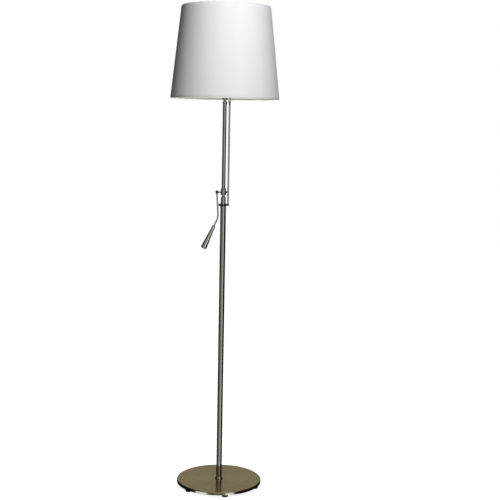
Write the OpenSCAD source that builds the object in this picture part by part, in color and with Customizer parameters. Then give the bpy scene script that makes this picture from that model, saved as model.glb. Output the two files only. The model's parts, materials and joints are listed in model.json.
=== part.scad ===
// Floor lamp with a round weighted base, a straight post and a parallelogram swing arm.
// A thin link rod keeps the fabric shade level while a handle tips the arm.
// Millimetres. The origin is on the floor under the post, +Z up. The arm tips towards +X,
// so every hinge axis lies along Y. The front of the lamp faces -Y.

/* [Base] */
// Diameter of the round base
base_d = 286; // [240:1:360]
// Thickness of the base disc without its feet
base_t = 10; // [9:0.5:16]
// Sheet thickness of the base cover
cover_t = 1.2; // [0.8:0.1:1.6]
// Rounding of the cover's rim
rim_r = 2.5; // [2:0.1:4]
// Thickness of the bottom plate
plate_t = 1.2; // [0.8:0.1:1.6]
// Space all round the weight inside the cover
weight_gap = 0.5; // [0.3:0.1:2]
// Room all round the lock washer in the bottom plate's middle hole
access_gap = 6; // [3:0.5:14]
// Width of the channel for the lead under the weight
channel_w = 15; // [12:1:18]

/* [Feet] */
// Number of rubber feet
foot_count = 6; // [3:1:8]
// Diameter of a foot
foot_d = 22; // [16:1:24]
// Height of a foot
foot_h = 8; // [7:0.5:12]
// Taper of a foot on its radius
foot_taper = 1; // [0:0.1:2]
// Distance from the base's rim to a foot's edge
foot_inset = 2; // [1:0.5:12]
// Turn of the first foot from the front, towards +X
foot_turn = 9.3; // [0:0.1:10]
// Depth of the screw's recess in a foot
foot_recess = 4; // [3.5:0.1:5]
// Thread diameter of the foot screws
foot_screw_d = 4; // [3:0.5:5]
// Head diameter of the foot screws
foot_head_d = 7.6; // [6:0.1:9]
// Head height of the foot screws
foot_head_h = 2.4; // [1.8:0.1:3]
// Length of thread in the weight
foot_grip = 5; // [3:0.5:5.5]

/* [Lead inlet] */
// Bore of the inlet bushing
inlet_bore_d = 7.4; // [5:0.1:8]
// Diameter of the bushing in the bottom plate
inlet_d = 10; // [9:0.5:12]
// Diameter of the bushing's flange
inlet_flange_d = 14; // [13:0.5:18]
// Thickness of the bushing's flange
inlet_flange_t = 1.4; // [1:0.1:2]
// Distance from the base's rim to the inlet
inlet_inset = 30; // [26:1:60]

/* [Post] */
// Outer diameter of the post
post_d = 19; // [17:0.5:25]
// Wall of the post
post_wall = 1.2; // [0.8:0.1:2]
// Diameter of the collar at the post's foot
foot_collar_d = 26; // [24:0.5:40]
// Height of the collar at the post's foot
foot_collar_h = 5; // [4:0.5:10]
// Outer diameter of the threaded nipple in the base
nipple_d = 9.8; // [8:0.1:12]
// Bore of the threaded nipples
nipple_bore_d = 7; // [5:0.1:7.5]
// Length of the insert pressed into the post's foot
insert_len = 25; // [15:1:40]
// Diameter of the lock washer
washer_d = 32; // [24:1:36]
// Width across the flats of the lock nut
nut_af = 17; // [14:0.5:19]
// Height of the lock nut
nut_h = 4.5; // [4:0.1:6]

/* [Hinges] */
// Height of the arm's lower hinge above the floor
hinge_h = 968; // [700:1:1200]
// Distance between the arm's two hinges
arm_len = 336; // [220:1:460]
// Step from the post's outside in to the forks that hold the hinges
fork_step = 0.3; // [0:0.1:1]
// Height of the post fork's domed top above its hinge
fork_rise = 17; // [15:0.5:18]
// Drop of the head fork's domed end below its hinge
head_fork_drop = 7.5; // [7:0.1:8]
// Diameter of the hinge bolts
pivot_d = 6; // [5:0.1:6.5]
// Head diameter of the hinge bolts
pivot_head_d = 9; // [8:0.1:9.5]
// Depth of the bolt heads and nuts in the forks
pivot_sink = 2.6; // [2.2:0.1:3.2]
// Thickness of the arm's tongues
tongue_t = 6; // [5:0.1:7]
// End radius of the arm's tongues
tongue_r = 6.4; // [5.5:0.1:7]
// Width of the arm's necks
neck_w = 10.7; // [9:0.1:11]
// Thickness of the friction washers
friction_t = 0.8; // [0.5:0.1:1.2]
// Length of the post fork's spigot in the post
spigot_len = 25; // [15:1:40]

/* [Link] */
// Sideways distance from the link collar's ring to the link's pivot
link_reach = 5.6; // [5.3:0.1:8]
// Distance of the link's pivot below the hinge
link_drop = 12.6; // [12:0.1:13.5]
// Diameter of the link rod
link_d = 6; // [5:0.1:6.2]
// Wall of the link rod
link_wall = 1; // [0.8:0.1:1.4]
// Radius of the link's flat eyes
eye_r = 4.2; // [3.8:0.1:4.4]
// Thickness of the link's flat eyes
eye_t = 3; // [2.4:0.1:4]
// Distance from a pivot to the end of the rod's tube
eye_reach = 8.5; // [7.5:0.1:12]
// Length of an eye's spigot in the rod
eye_spigot = 10; // [6:0.5:16]
// Diameter of the link's pins
link_pin_d = 3.5; // [2.8:0.1:4]
// Head diameter of the link's pins
link_pin_head_d = 6; // [5:0.1:7]
// Head height of the link's pins
link_pin_head_h = 1; // [0.8:0.1:1.5]
// Radius of the ears round the link's pins
ear_r = 3.9; // [3.6:0.1:4]
// Thickness of the ears, front to back
ear_t = 9; // [8:0.1:11]
// Step from the post's outside out to the link collar's ring
collar_step = 0.7; // [0.2:0.1:1.5]
// Height of the link collar
collar_h = 7.8; // [7:0.1:8.4]
// Distance of the link collar's top below the hinge
collar_drop = 10; // [9.5:0.1:10.5]
// Wall of the link collar's ring
collar_wall = 3.2; // [2.6:0.1:4]
// Diameter of the grub screws
grub_d = 3; // [2.5:0.1:4]

/* [Arm] */
// Outer diameter of the arm tube
arm_d = 12.7; // [11:0.1:13]
// Wall of the arm tube
arm_wall = 1; // [0.8:0.1:1.6]
// Gap between a fork's domed end and the shoulder of the arm's fitting
shoulder_gap = 2; // [1.7:0.1:5]
// Step from the fork's outside in to the arm's lower fitting
lower_fit_step = 0.2; // [0:0.1:1]
// Height of the lower fitting's straight body
lower_body_h = 15.6; // [15:0.1:24]
// Height of the lower fitting's taper
lower_taper_h = 7.7; // [6:0.1:14]
// Diameter of the arm's upper fitting
upper_fit_d = 16; // [15:0.1:17]
// Height of the upper fitting's straight body
upper_body_h = 3.5; // [3:0.1:8]
// Height of the upper fitting's taper
upper_taper_h = 6; // [5:0.1:10]
// Wall left at the thin end of both fittings
fit_lip = 0.7; // [0.5:0.1:1]
// Depth of the arm tube in each fitting
arm_seat = 7.5; // [6:0.1:8]

/* [Handle] */
// Height of the cross bar above the lower hinge
bar_rise = 29; // [28:0.1:30]
// Diameter of the cross bar
bar_d = 5.5; // [5:0.1:6.5]
// Diameter of the cap nut on the cross bar
cap_nut_d = 8; // [7:0.1:9]
// Gap between the cap nut and the link rod
cap_nut_gap = 0.6; // [0.4:0.1:1.2]
// Distance from the post's outside to the handle rod's centre at the bar
rod_offset = 11.8; // [11.5:0.1:16]
// Diameter of the clamp block
block_d = 10.4; // [9:0.1:12]
// Height of the clamp block
block_h = 9.7; // [8:0.1:12]
// Diameter of the handle rod
rod_d = 5.5; // [5:0.1:6]
// Lean of the handle rod towards the post
rod_lean = 3.3; // [2:0.1:3.5]
// Length of the handle rod from the bar to its bend
rod_upper = 84; // [70:1:100]
// Angle of the handle below its bend, from the vertical
grip_lean = 24.4; // [15:0.1:40]
// Length of the handle rod from its bend to the grip
rod_lower = 29.8; // [24:0.1:60]
// Bend radius of the handle rod
rod_bend_r = 30; // [12:1:40]
// Length of the handle rod inside the grip
rod_in_grip = 22; // [15:1:40]
// Length of the grip
grip_len = 85; // [60:1:110]
// Diameter of the grip at its top
grip_top_d = 10; // [9:0.5:14]
// Diameter of the grip near its end
grip_end_d = 20; // [15:0.5:24]
// Rounding of the grip's end
grip_end_r = 5; // [3:0.5:7]

/* [Head] */
// Height of the head fork's top above its hinge
head_rise = 20; // [19:0.5:28]
// Lower side of the bridge to the link's ear, above the hinge
bridge_low = 2.5; // [1:0.1:4]
// Upper side of the bridge to the link's ear, above the hinge
bridge_high = 10.5; // [9:0.1:13]
// Depth of the head nipple's thread in the fork
head_thread = 9; // [6:0.5:11]
// Sheet thickness of the harp's saddle
saddle_t = 1.5; // [1.2:0.1:2]
// Width of the harp's saddle
saddle_w = 10; // [8:0.5:12]
// Half the distance between the harp's legs
saddle_x = 28; // [26:0.5:32]
// Height of the saddle's legs
saddle_leg = 20; // [16:0.5:24]

/* [Lampholder] */
// Diameter of the lampholder's shell
shell_d = 33; // [32:0.5:40]
// Height of the lampholder's shell
shell_h = 48; // [44:1:56]
// Sheet thickness of the lampholder's cap and shell
shell_t = 0.7; // [0.5:0.1:1]
// Diameter of the cap's neck
cap_neck_d = 16; // [15:0.5:18]
// Height of the cap's neck
cap_neck_h = 6; // [5:0.5:9]
// Height of the cap's cone
cap_cone_h = 9; // [7:0.5:12]
// Height of the cap's straight rim
cap_rim_h = 8; // [6:0.5:9]
// Wall of the insulating liner
liner_t = 0.7; // [0.5:0.1:1]
// Height of the insulating switch body
switch_body_h = 18; // [16:0.5:22]
// Wall of the screw shell
screw_shell_t = 0.5; // [0.4:0.1:0.8]
// Diameter of the switch knob's shaft
knob_shaft_d = 4; // [3:0.1:5]
// Diameter of the switch knob
knob_d = 13; // [10:0.5:16]
// Length of the switch knob
knob_len = 11; // [8:0.5:16]

/* [Bulb] */
// Diameter of the bulb's screw cap
bulb_cap_d = 26.3; // [25:0.1:26.6]
// Height of the bulb's screw cap
bulb_cap_h = 25; // [22:0.5:27]
// Diameter of the bulb's glass
bulb_d = 60; // [45:1:70]
// Wall of the bulb's screw cap
bulb_cap_wall = 0.6; // [0.3:0.1:1]
// Clearance of the glass neck inside the screw cap
bulb_neck_gap = 0.35; // [0.1:0.05:1]
// Wall of the bulb's glass
bulb_wall = 0.8; // [0.5:0.1:1.2]
// Slope of the bulb's shoulder from the vertical
bulb_slope = 25; // [18:1:32]

/* [Harp] */
// Height from the saddle to the harp's top
harp_h = 234; // [200:1:250]
// Half width that the harp flares out to
harp_half_w = 64; // [50:1:70]
// Diameter of the harp's wire
harp_wire_d = 3.2; // [2.5:0.1:4]
// Diameter of the ferrules on the harp's legs
ferrule_d = 7.4; // [7:0.1:9]
// Length of the ferrules
ferrule_len = 16; // [12:0.5:20]
// Diameter of the stud on the harp
stud_d = 6; // [5:0.1:6.4]
// Length of the stud above the harp
stud_len = 15; // [12:0.5:18]
// Diameter of the finial's ball
finial_d = 14; // [12:0.5:18]

/* [Shade] */
// Diameter of the shade at its bottom
shade_bottom_d = 358; // [300:1:430]
// Diameter of the shade at its top
shade_top_d = 290; // [240:1:360]
// Height of the shade
shade_h = 299; // [220:1:360]
// Height of the shade's top above the spider's washer
spider_drop = 38.5; // [16:0.5:60]
// Thickness of the shade's wall
shade_wall = 1.5; // [1:0.1:2]
// Diameter of the shade's wires
shade_wire_d = 3.2; // [2.5:0.1:4]
// Inset of the wires from the shade's edges
wire_inset = 2; // [1.8:0.1:4]
// Diameter of the spider's washer
spider_washer_d = 26; // [20:1:30]
// Number of the spider's arms
spider_arms = 3; // [3:1:4]

/* [Fits] */
// Radial clearance of a running fit
run_fit = 0.05; // [0.02:0.01:0.1]
// Radial clearance of a fixed fit
fixed_fit = 0.05; // [0.02:0.01:0.1]
// Side clearance of a moving flat joint
side_gap = 0.2; // [0.1:0.05:0.3]
// Gap between the handle rod and its rest stop
stop_gap = 0.4; // [0.3:0.1:1]
// Clearance where a piece swings past another
swing_gap = 1; // [0.5:0.1:1.5]

/* [Hidden] */
$fn = 96;
nickel = [0.66, 0.64, 0.60];
bronze = [0.52, 0.48, 0.38];
chrome_dark = [0.16, 0.16, 0.17];
steel = [0.62, 0.62, 0.63];
black = [0.08, 0.08, 0.08];
brass = [0.78, 0.62, 0.32];
iron = [0.28, 0.28, 0.29];
white = [0.93, 0.92, 0.89];
nylon = [0.90, 0.89, 0.84];

base_r = base_d / 2;
base_top = foot_h + base_t;
weight_r = base_r - cover_t - weight_gap;
weight_z = foot_h + plate_t;
weight_t = base_t - plate_t - cover_t;
skirt_gap = 0.4;
access_d = washer_d + 2 * access_gap;
foot_circle_r = base_r - foot_inset - foot_d / 2;
inlet_y = base_r - inlet_inset;
nut_d = nut_af / cos(30);
nipple_end = 0.5;

post_in_d = post_d - 2 * post_wall;
collar_top = hinge_h - collar_drop;
tube_top = collar_top - collar_h;
slot_w = tongue_t + 2 * friction_t + side_gap;
fork_d = post_d - 2 * fork_step;
pivot_seat = fork_d / 2 - pivot_sink;
collar_d = post_d + 2 * collar_step;
collar_neck_d = collar_d - 2 * collar_wall;
link_dx = collar_d / 2 + link_reach;
link_bore_d = link_d - 2 * link_wall;

head_z = hinge_h + arm_len;
lower_fit_d = fork_d - 2 * lower_fit_step;
lower_shoulder = fork_rise + shoulder_gap;
upper_shoulder = head_fork_drop + shoulder_gap;
link_low_z = hinge_h - link_drop;
link_high_z = head_z - link_drop;
arm_low = hinge_h + lower_shoulder + lower_body_h + lower_taper_h - arm_seat;
arm_high = head_z - upper_shoulder - upper_body_h - upper_taper_h + arm_seat;

bar_z = hinge_h + bar_rise;
block_x = post_d / 2 + rod_offset;
bar_end_gap = 0.4;
bar_left = -block_x + rod_d / 2 + bar_end_gap;
face_gap = 0.1;
cap_nut_seat = lower_fit_d / 2 + face_gap;
cap_nut_reach = link_dx - link_d / 2 - cap_nut_gap;
cap_nut_wall = 1;
stop_x = block_x - (bar_z - tube_top) * tan(rod_lean) - rod_d / 2 / cos(rod_lean) - stop_gap;
rod_start = [-block_x, 0, bar_z];
rod_corner = rod_start + rod_upper * down(-rod_lean);
bend_cut = rod_bend_r * tan((rod_lean + grip_lean) / 2);
bend_centre = rod_corner - bend_cut * down(-rod_lean) - rod_bend_r * right_of(-rod_lean);
bend_steps = 10;
rod_points = concat(
    [rod_start - block_h / 2 * down(-rod_lean)],
    [for (i = [0 : bend_steps])
        bend_centre + rod_bend_r * right_of(-rod_lean + (rod_lean + grip_lean) * i / bend_steps)],
    [rod_corner + (rod_lower + rod_in_grip) * down(grip_lean)]
);

head_top = head_z + head_rise;
cap_z = head_top + saddle_t;
cap_top = cap_z + cap_neck_h + cap_cone_h + cap_rim_h;
shell_z = cap_top - cap_rim_h + 0.5;
shell_in_d = shell_d - 2 * shell_t;
liner_d = shell_in_d - 2 * fixed_fit;
liner_in_d = liner_d - 2 * liner_t;
switch_body_d = liner_in_d - 2 * fixed_fit;
switch_z = shell_z + 1;
switch_top = switch_z + switch_body_h;
knob_z = cap_top + knob_shaft_d / 2 + 2;
bulb_contact = 2;
contact_t = 0.5;
bulb_cap_z = switch_top + contact_t + face_gap + bulb_contact;
bulb_neck_d = bulb_cap_d - 2 * bulb_cap_wall - 2 * bulb_neck_gap;
bulb_neck_sunk = 7;
bulb_neck_z = bulb_cap_z + bulb_cap_h - bulb_neck_sunk;
bulb_neck_h = bulb_neck_sunk + 5;
bulb_shoulder_r = bulb_d / 2 * cos(bulb_slope);
bulb_shoulder_h = (bulb_shoulder_r - bulb_neck_d / 2) / tan(bulb_slope);
bulb_centre = bulb_neck_z + bulb_neck_h + bulb_shoulder_h + bulb_d / 2 * sin(bulb_slope);

saddle_top = head_top + saddle_leg + saddle_t;
ferrule_z = saddle_top - ferrule_len / 2;
harp_foot = saddle_top;
harp_straight = ferrule_len / 2;
ferrule_wall = 1.1;
ferrule_bore_d = ferrule_d - 2 * ferrule_wall;
harp_top = head_top + saddle_t + harp_h;
harp_boss_h = 4;
spider_z = harp_top + harp_boss_h / 2;
spider_t = 1.6;
finial_z = spider_z + spider_t;

shade_top = spider_z + spider_drop;
shade_z = shade_top - shade_h;
wire_r = shade_wire_d / 2;

function shade_r(z) = (shade_bottom_d + (shade_top_d - shade_bottom_d) * (z - shade_z) / shade_h) / 2;
function wire_ring_r(z) = shade_r(z) - shade_wall - wire_r - 0.3;
function down(lean) = [-sin(lean), 0, -cos(lean)];
function right_of(lean) = [cos(lean), 0, -sin(lean)];
function foot_angle(i) = foot_turn - 90 + i * 360 / foot_count;

// ---- shared shapes ----

// A disc with a rounded upper rim
module round_rim_disc(r, h, edge) {
    rotate_extrude() {
        square([r - edge, h]);
        square([r, h - edge]);
        translate([r - edge, h - edge]) circle(edge);
    }
}

// A tube standing on the XY plane
module tube(outer_d, inner_d, h) {
    difference() {
        cylinder(d = outer_d, h = h);
        translate([0, 0, -1]) cylinder(d = inner_d, h = h + 2);
    }
}

// A cylinder along Y, centred on the XZ plane
module pin_y(d, len) {
    rotate([90, 0, 0]) cylinder(d = d, h = len, center = true);
}

// A cylinder along X from x0 to x1
module bar_x(d, x0, x1) {
    translate([x0, 0, 0]) rotate([0, 90, 0]) cylinder(d = d, h = x1 - x0);
}

// Places its children at each foot
module at_feet() {
    for (i = [0 : foot_count - 1])
        rotate(foot_angle(i)) translate([foot_circle_r, 0, 0]) children();
}

// Bores for a hinge bolt and its sunk head and nut, through both cheeks of a fork
module hinge_bores() {
    pin_y(pivot_d + 2 * fixed_fit, fork_d + 2);
    for (side = [-1, 1])
        translate([0, side * (pivot_seat + fork_d / 2), 0])
            pin_y(pivot_head_d + 2 * fixed_fit, fork_d);
}

// What lies on one side of the bolt seats and flush with the fork's round outside
module flush_cap(side) {
    intersection() {
        translate([0, side * (pivot_seat + fork_d / 2), 0]) pin_y(pivot_head_d, fork_d);
        cylinder(d = fork_d - 0.1, h = 2 * pivot_head_d, center = true);
    }
}

module hinge_bolt() {
    socket_af = 3;
    end_y = fork_d / 2 - 1.2;
    difference() {
        union() {
            flush_cap(-1);
            translate([0, (end_y - pivot_seat) / 2, 0]) pin_y(pivot_d, end_y + pivot_seat);
        }
        translate([0, -fork_d / 2, 0]) rotate([90, 0, 0])
            cylinder(d = socket_af / cos(30), h = 4, center = true, $fn = 6);
    }
}

module hinge_nut() {
    difference() {
        flush_cap(1);
        pin_y(pivot_d + 2 * fixed_fit, 2 * fork_d);
    }
}

module friction_washers() {
    edge_inset = 0.3;
    washer_od = 2 * (tongue_r - edge_inset);
    gap = side_gap / 4;
    for (side = [-1, 1])
        translate([0, side * (tongue_t / 2 + gap + friction_t / 2), 0])
            difference() {
                pin_y(washer_od, friction_t);
                pin_y(pivot_d + 4 * fixed_fit, 2 * friction_t);
            }
}

// Flat tongue round a hinge, with its neck going up to a height
module tongue(neck_h) {
    pin_y(2 * tongue_r, tongue_t);
    translate([-neck_w / 2, -tongue_t / 2, 0]) cube([neck_w, tongue_t, neck_h]);
}

// Arm fitting standing on its hinge: tongue, shoulder, straight body and taper to the tube
module arm_fitting(shoulder, body_d, body_h, taper_h) {
    lip_d = arm_d + 2 * fixed_fit + 2 * fit_lip;
    chamfer = 1.5;
    top = shoulder + body_h + taper_h;
    difference() {
        union() {
            tongue(shoulder + chamfer);
            translate([0, 0, shoulder])
                cylinder(d1 = body_d - 2 * chamfer, d2 = body_d, h = chamfer);
            translate([0, 0, shoulder + chamfer]) cylinder(d = body_d, h = body_h - chamfer);
            translate([0, 0, shoulder + body_h]) cylinder(d1 = body_d, d2 = lip_d, h = taper_h);
        }
        pin_y(pivot_d + 2 * run_fit, fork_d);
        translate([0, 0, top - arm_seat]) cylinder(d = arm_d + 2 * fixed_fit, h = arm_seat + 1);
    }
}

// Link eye with its neck and spigot going up from the pivot
module link_eye() {
    step_h = 1.5;
    difference() {
        union() {
            pin_y(2 * eye_r, eye_t);
            intersection() {
                cylinder(d = link_d, h = eye_reach);
                translate([-link_d / 2, -eye_t / 2, 0]) cube([link_d, eye_t, eye_reach]);
            }
            translate([0, 0, eye_reach - step_h]) cylinder(d = link_d, h = step_h);
            translate([0, 0, eye_reach]) cylinder(d = link_bore_d - 2 * fixed_fit, h = eye_spigot);
        }
        pin_y(link_pin_d + 2 * run_fit, 2 * eye_t);
    }
}

module link_pin() {
    pin_y(link_pin_d, ear_t);
    for (side = [-1, 1])
        translate([0, side * (ear_t + link_pin_head_h) / 2, 0])
            pin_y(link_pin_head_d, link_pin_head_h);
}

// Room for a link eye between the cheeks of an ear, open on the side of the rod
module eye_room(open_up) {
    room_w = eye_t + 2 * side_gap;
    room_r = eye_r + swing_gap / 2;
    pin_y(2 * room_r, room_w);
    translate([-room_r, -room_w / 2, open_up ? 0 : -4 * room_r])
        cube([4 * room_r, room_w, 4 * room_r]);
}

// A round wire along points that lie in the XZ plane
module wire_xz(points, d, sides = 12) {
    last = len(points) - 1;
    function ahead(i) = points[min(i + 1, last)] - points[max(i - 1, 0)];
    function side_of(i) = let (t = ahead(i)) [-t[2], 0, t[0]] / norm(t);
    rings = [
        for (i = [0 : last]) for (j = [0 : sides - 1])
            let (a = 360 * j / sides)
            points[i] + d / 2 * (cos(a) * [0, 1, 0] + sin(a) * side_of(i))
    ];
    walls = [
        for (i = [0 : last - 1]) for (j = [0 : sides - 1])
            let (k = (j + 1) % sides)
            [i * sides + j, (i + 1) * sides + j, (i + 1) * sides + k, i * sides + k]
    ];
    start = [for (j = [0 : sides - 1]) j];
    end = [for (j = [sides - 1 : -1 : 0]) last * sides + j];
    polyhedron(rings, concat([start, end], walls));
}

module grub_screw(len) {
    socket_af = grub_d / 2;
    socket_deep = 1.5;
    difference() {
        cylinder(d = grub_d, h = len);
        translate([0, 0, len - socket_deep])
            cylinder(d = socket_af / cos(30), h = socket_deep + 1, $fn = 6);
    }
}

// ---- base ----

module base_cover() color(bronze) {
    translate([0, 0, foot_h])
        difference() {
            round_rim_disc(base_r, base_t, rim_r);
            translate([0, 0, -1])
                round_rim_disc(base_r - cover_t, base_t - cover_t + 1, rim_r - cover_t);
            translate([0, 0, -1]) cylinder(r = base_r + 1, h = 1 + skirt_gap);
            cylinder(d = nipple_d + 4 * fixed_fit, h = base_t + 1);
        }
}

module base_weight() color(iron) {
    difference() {
        translate([0, 0, weight_z]) round_rim_disc(weight_r, weight_t, rim_r);
        translate([0, 0, weight_z - 1]) {
            cylinder(d = nipple_d + 4 * fixed_fit, h = weight_t + 2);
            translate([-channel_w / 2, 0, 0])
                cube([channel_w, inlet_y + inlet_flange_d / 2, weight_t / 2 + 1]);
            at_feet() cylinder(d = foot_screw_d + 2 * fixed_fit, h = foot_grip + 1.5);
        }
    }
}

module base_plate() color(black) {
    difference() {
        translate([0, 0, foot_h]) cylinder(r = weight_r, h = plate_t);
        translate([0, 0, foot_h - 1]) {
            cylinder(d = access_d, h = plate_t + 2);
            at_feet() cylinder(d = foot_screw_d + 4 * fixed_fit, h = plate_t + 2);
            translate([0, inlet_y, 0]) cylinder(d = inlet_d + 2 * fixed_fit, h = plate_t + 2);
        }
    }
}

module rubber_feet() color(black) {
    recess_gap = 0.8;
    at_feet()
        difference() {
            cylinder(r1 = foot_d / 2 - foot_taper, r2 = foot_d / 2, h = foot_h);
            translate([0, 0, -1])
                cylinder(d = foot_head_d + 2 * recess_gap, h = foot_recess + 1);
            translate([0, 0, -1]) cylinder(d = foot_screw_d + 4 * fixed_fit, h = foot_h + 2);
        }
}

module foot_screws() color(steel) {
    drive_w = 1.2;
    drive_deep = 1.2;
    at_feet()
        difference() {
            union() {
                translate([0, 0, foot_recess - foot_head_h])
                    cylinder(d = foot_head_d, h = foot_head_h);
                cylinder(d = foot_screw_d, h = foot_h + plate_t + foot_grip);
            }
            translate([0, 0, -1])
                cylinder(d = foot_head_d, h = foot_recess - foot_head_h + 1);
            for (turn = [0, 90])
                rotate(turn)
                    translate([-drive_w / 2, -foot_screw_d / 2, 0])
                        cube([drive_w, foot_screw_d, foot_recess - foot_head_h + drive_deep]);
        }
}

module lead_inlet_bushing() color(black) {
    translate([0, inlet_y, foot_h - inlet_flange_t])
        difference() {
            union() {
                cylinder(d = inlet_flange_d, h = inlet_flange_t);
                cylinder(d = inlet_d, h = inlet_flange_t + plate_t);
            }
            translate([0, 0, -1])
                cylinder(d = inlet_bore_d, h = inlet_flange_t + plate_t + 2);
        }
}

module base_nipple() color(steel) {
    low = foot_h - nut_h - nipple_end;
    high = base_top + insert_len - 2;
    translate([0, 0, low]) tube(nipple_d, nipple_bore_d, high - low);
}

module base_lock_washer() color(steel) {
    translate([0, 0, foot_h]) tube(washer_d, nipple_d + 4 * fixed_fit, plate_t);
}

module base_lock_nut() color(steel) {
    translate([0, 0, foot_h - nut_h])
        difference() {
            cylinder(d = nut_d, h = nut_h, $fn = 6);
            translate([0, 0, -1]) cylinder(d = nipple_d + 2 * fixed_fit, h = nut_h + 2);
        }
}

// ---- post ----

module post_foot_collar() color(nickel) {
    edge = 2.5;
    translate([0, 0, base_top])
        difference() {
            round_rim_disc(foot_collar_d / 2, foot_collar_h, edge);
            translate([0, 0, -1]) cylinder(d = post_d + 2 * fixed_fit, h = foot_collar_h + 2);
        }
}

module post_foot_insert() color(steel) {
    translate([0, 0, base_top])
        tube(post_in_d - 2 * fixed_fit, nipple_d + 2 * fixed_fit, insert_len);
}

module post_tube() color(nickel) {
    translate([0, 0, base_top]) tube(post_d, post_in_d, tube_top - base_top);
}

module post_fork() color(nickel) {
    slot_floor = hinge_h - tongue_r - swing_gap;
    difference() {
        union() {
            translate([0, 0, tube_top - spigot_len])
                cylinder(d = post_in_d - 2 * fixed_fit, h = spigot_len);
            translate([0, 0, tube_top]) cylinder(d = collar_neck_d, h = collar_h);
            translate([0, 0, collar_top])
                cylinder(d = fork_d, h = hinge_h + fork_rise - fork_d / 2 - collar_top);
            translate([0, 0, hinge_h + fork_rise - fork_d / 2]) sphere(d = fork_d);
        }
        translate([-fork_d, -slot_w / 2, slot_floor])
            cube([2 * fork_d, slot_w, fork_rise + fork_d]);
        translate([0, 0, hinge_h]) hinge_bores();
        translate([0, 0, tube_top - spigot_len - 1])
            cylinder(d = nipple_bore_d, h = slot_floor - tube_top + spigot_len + 2);
    }
}

module link_collar() color(chrome_dark) {
    difference() {
        union() {
            translate([0, 0, tube_top]) cylinder(d = collar_d, h = collar_h);
            translate([-stop_x, -ear_t / 2, tube_top]) cube([stop_x, ear_t, collar_h]);
            translate([0, -ear_t / 2, link_low_z - ear_r])
                cube([link_dx, ear_t, collar_top - link_low_z + ear_r]);
            translate([link_dx, 0, link_low_z]) pin_y(2 * ear_r, ear_t);
        }
        translate([0, 0, tube_top - 1])
            cylinder(d = collar_neck_d + 2 * fixed_fit, h = collar_h + 2);
        translate([link_dx, 0, link_low_z]) {
            pin_y(link_pin_d + 2 * fixed_fit, 2 * ear_t);
            eye_room(true);
        }
        translate([0, 0, tube_top + collar_h / 2]) rotate([-90, 0, 0])
            cylinder(d = grub_d + 2 * fixed_fit, h = collar_d);
    }
}

module collar_grub_screw() color(steel) {
    inner = collar_neck_d / 2 + fixed_fit;
    translate([0, inner, tube_top + collar_h / 2]) rotate([-90, 0, 0])
        grub_screw(collar_d / 2 - inner - 0.3);
}

module arm_pivot_bolt() color(nickel) translate([0, 0, hinge_h]) hinge_bolt();

module arm_pivot_nut() color(nickel) translate([0, 0, hinge_h]) hinge_nut();

module arm_friction_washers() color(nylon) translate([0, 0, hinge_h]) friction_washers();

module link_lower_pin() color(nickel) translate([link_dx, 0, link_low_z]) link_pin();

// ---- arm ----

module arm_lower_fitting() color(nickel) {
    difference() {
        translate([0, 0, hinge_h])
            arm_fitting(lower_shoulder, lower_fit_d, lower_body_h, lower_taper_h);
        translate([0, 0, bar_z])
            bar_x(bar_d + 2 * fixed_fit, -lower_fit_d, lower_fit_d);
    }
}

module arm_tube() color(nickel) {
    translate([0, 0, arm_low]) tube(arm_d, arm_d - 2 * arm_wall, arm_high - arm_low);
}

module arm_upper_fitting() color(nickel) {
    translate([0, 0, head_z]) mirror([0, 0, 1])
        arm_fitting(upper_shoulder, upper_fit_d, upper_body_h, upper_taper_h);
}

// ---- handle ----

module handle_cross_bar() color(nickel) {
    translate([0, 0, bar_z]) bar_x(bar_d, bar_left, cap_nut_reach - cap_nut_wall - face_gap);
}

module cross_bar_cap_nut() color(chrome_dark) {
    translate([0, 0, bar_z])
        difference() {
            bar_x(cap_nut_d, cap_nut_seat, cap_nut_reach);
            bar_x(bar_d + 2 * fixed_fit, 0, cap_nut_reach - cap_nut_wall);
        }
}

// The handle rod's own frame: origin on the cross bar, -Z along the rod's upper part
module on_rod() translate([-block_x, 0, bar_z]) rotate([0, -rod_lean, 0]) children();

module handle_clamp_block() color(chrome_dark) {
    chamfer = 1;
    difference() {
        on_rod() {
            cylinder(d = block_d, h = block_h - 2 * chamfer, center = true);
            for (side = [0, 1]) mirror([0, 0, side])
                translate([0, 0, block_h / 2 - chamfer])
                    cylinder(d1 = block_d, d2 = block_d - 2 * chamfer, h = chamfer);
        }
        on_rod() cylinder(d = rod_d + 2 * fixed_fit, h = block_h + 2, center = true);
        translate([0, 0, bar_z]) bar_x(bar_d + 2 * fixed_fit, -block_x, 0);
        on_rod() rotate([0, -90, 0]) cylinder(d = grub_d + 2 * fixed_fit, h = block_d);
    }
}

module clamp_grub_screw() color(steel) {
    inner = rod_d / 2 + fixed_fit;
    on_rod() rotate([0, -90, 0]) translate([0, 0, inner])
        grub_screw(block_d / 2 - inner - 0.2);
}

// Straight, bend and straight of the handle rod
module handle_rod() color(nickel) wire_xz(rod_points, rod_d, 24);

module handle_grip() color(nickel) {
    edge = 1.5;
    translate(rod_corner) rotate([0, grip_lean, 0])
        translate([0, 0, -rod_lower]) mirror([0, 0, 1])
            difference() {
                union() {
                    translate([0, 0, edge])
                        cylinder(d1 = grip_top_d, d2 = grip_end_d,
                                 h = grip_len - grip_end_r - edge);
                    rotate_extrude() {
                        square([grip_top_d / 2 - edge, edge]);
                        translate([grip_top_d / 2 - edge, edge]) circle(edge);
                        translate([0, grip_len - grip_end_r])
                            square([grip_end_d / 2 - grip_end_r, grip_end_r]);
                        translate([grip_end_d / 2 - grip_end_r, grip_len - grip_end_r])
                            circle(grip_end_r);
                    }
                }
                translate([0, 0, -1])
                    cylinder(d = rod_d + 2 * fixed_fit, h = rod_in_grip + 1.5);
            }
}

// ---- link ----

module link_rod() color(nickel) {
    translate([link_dx, 0, link_low_z + eye_reach])
        tube(link_d, link_bore_d, arm_len - 2 * eye_reach);
}

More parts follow.
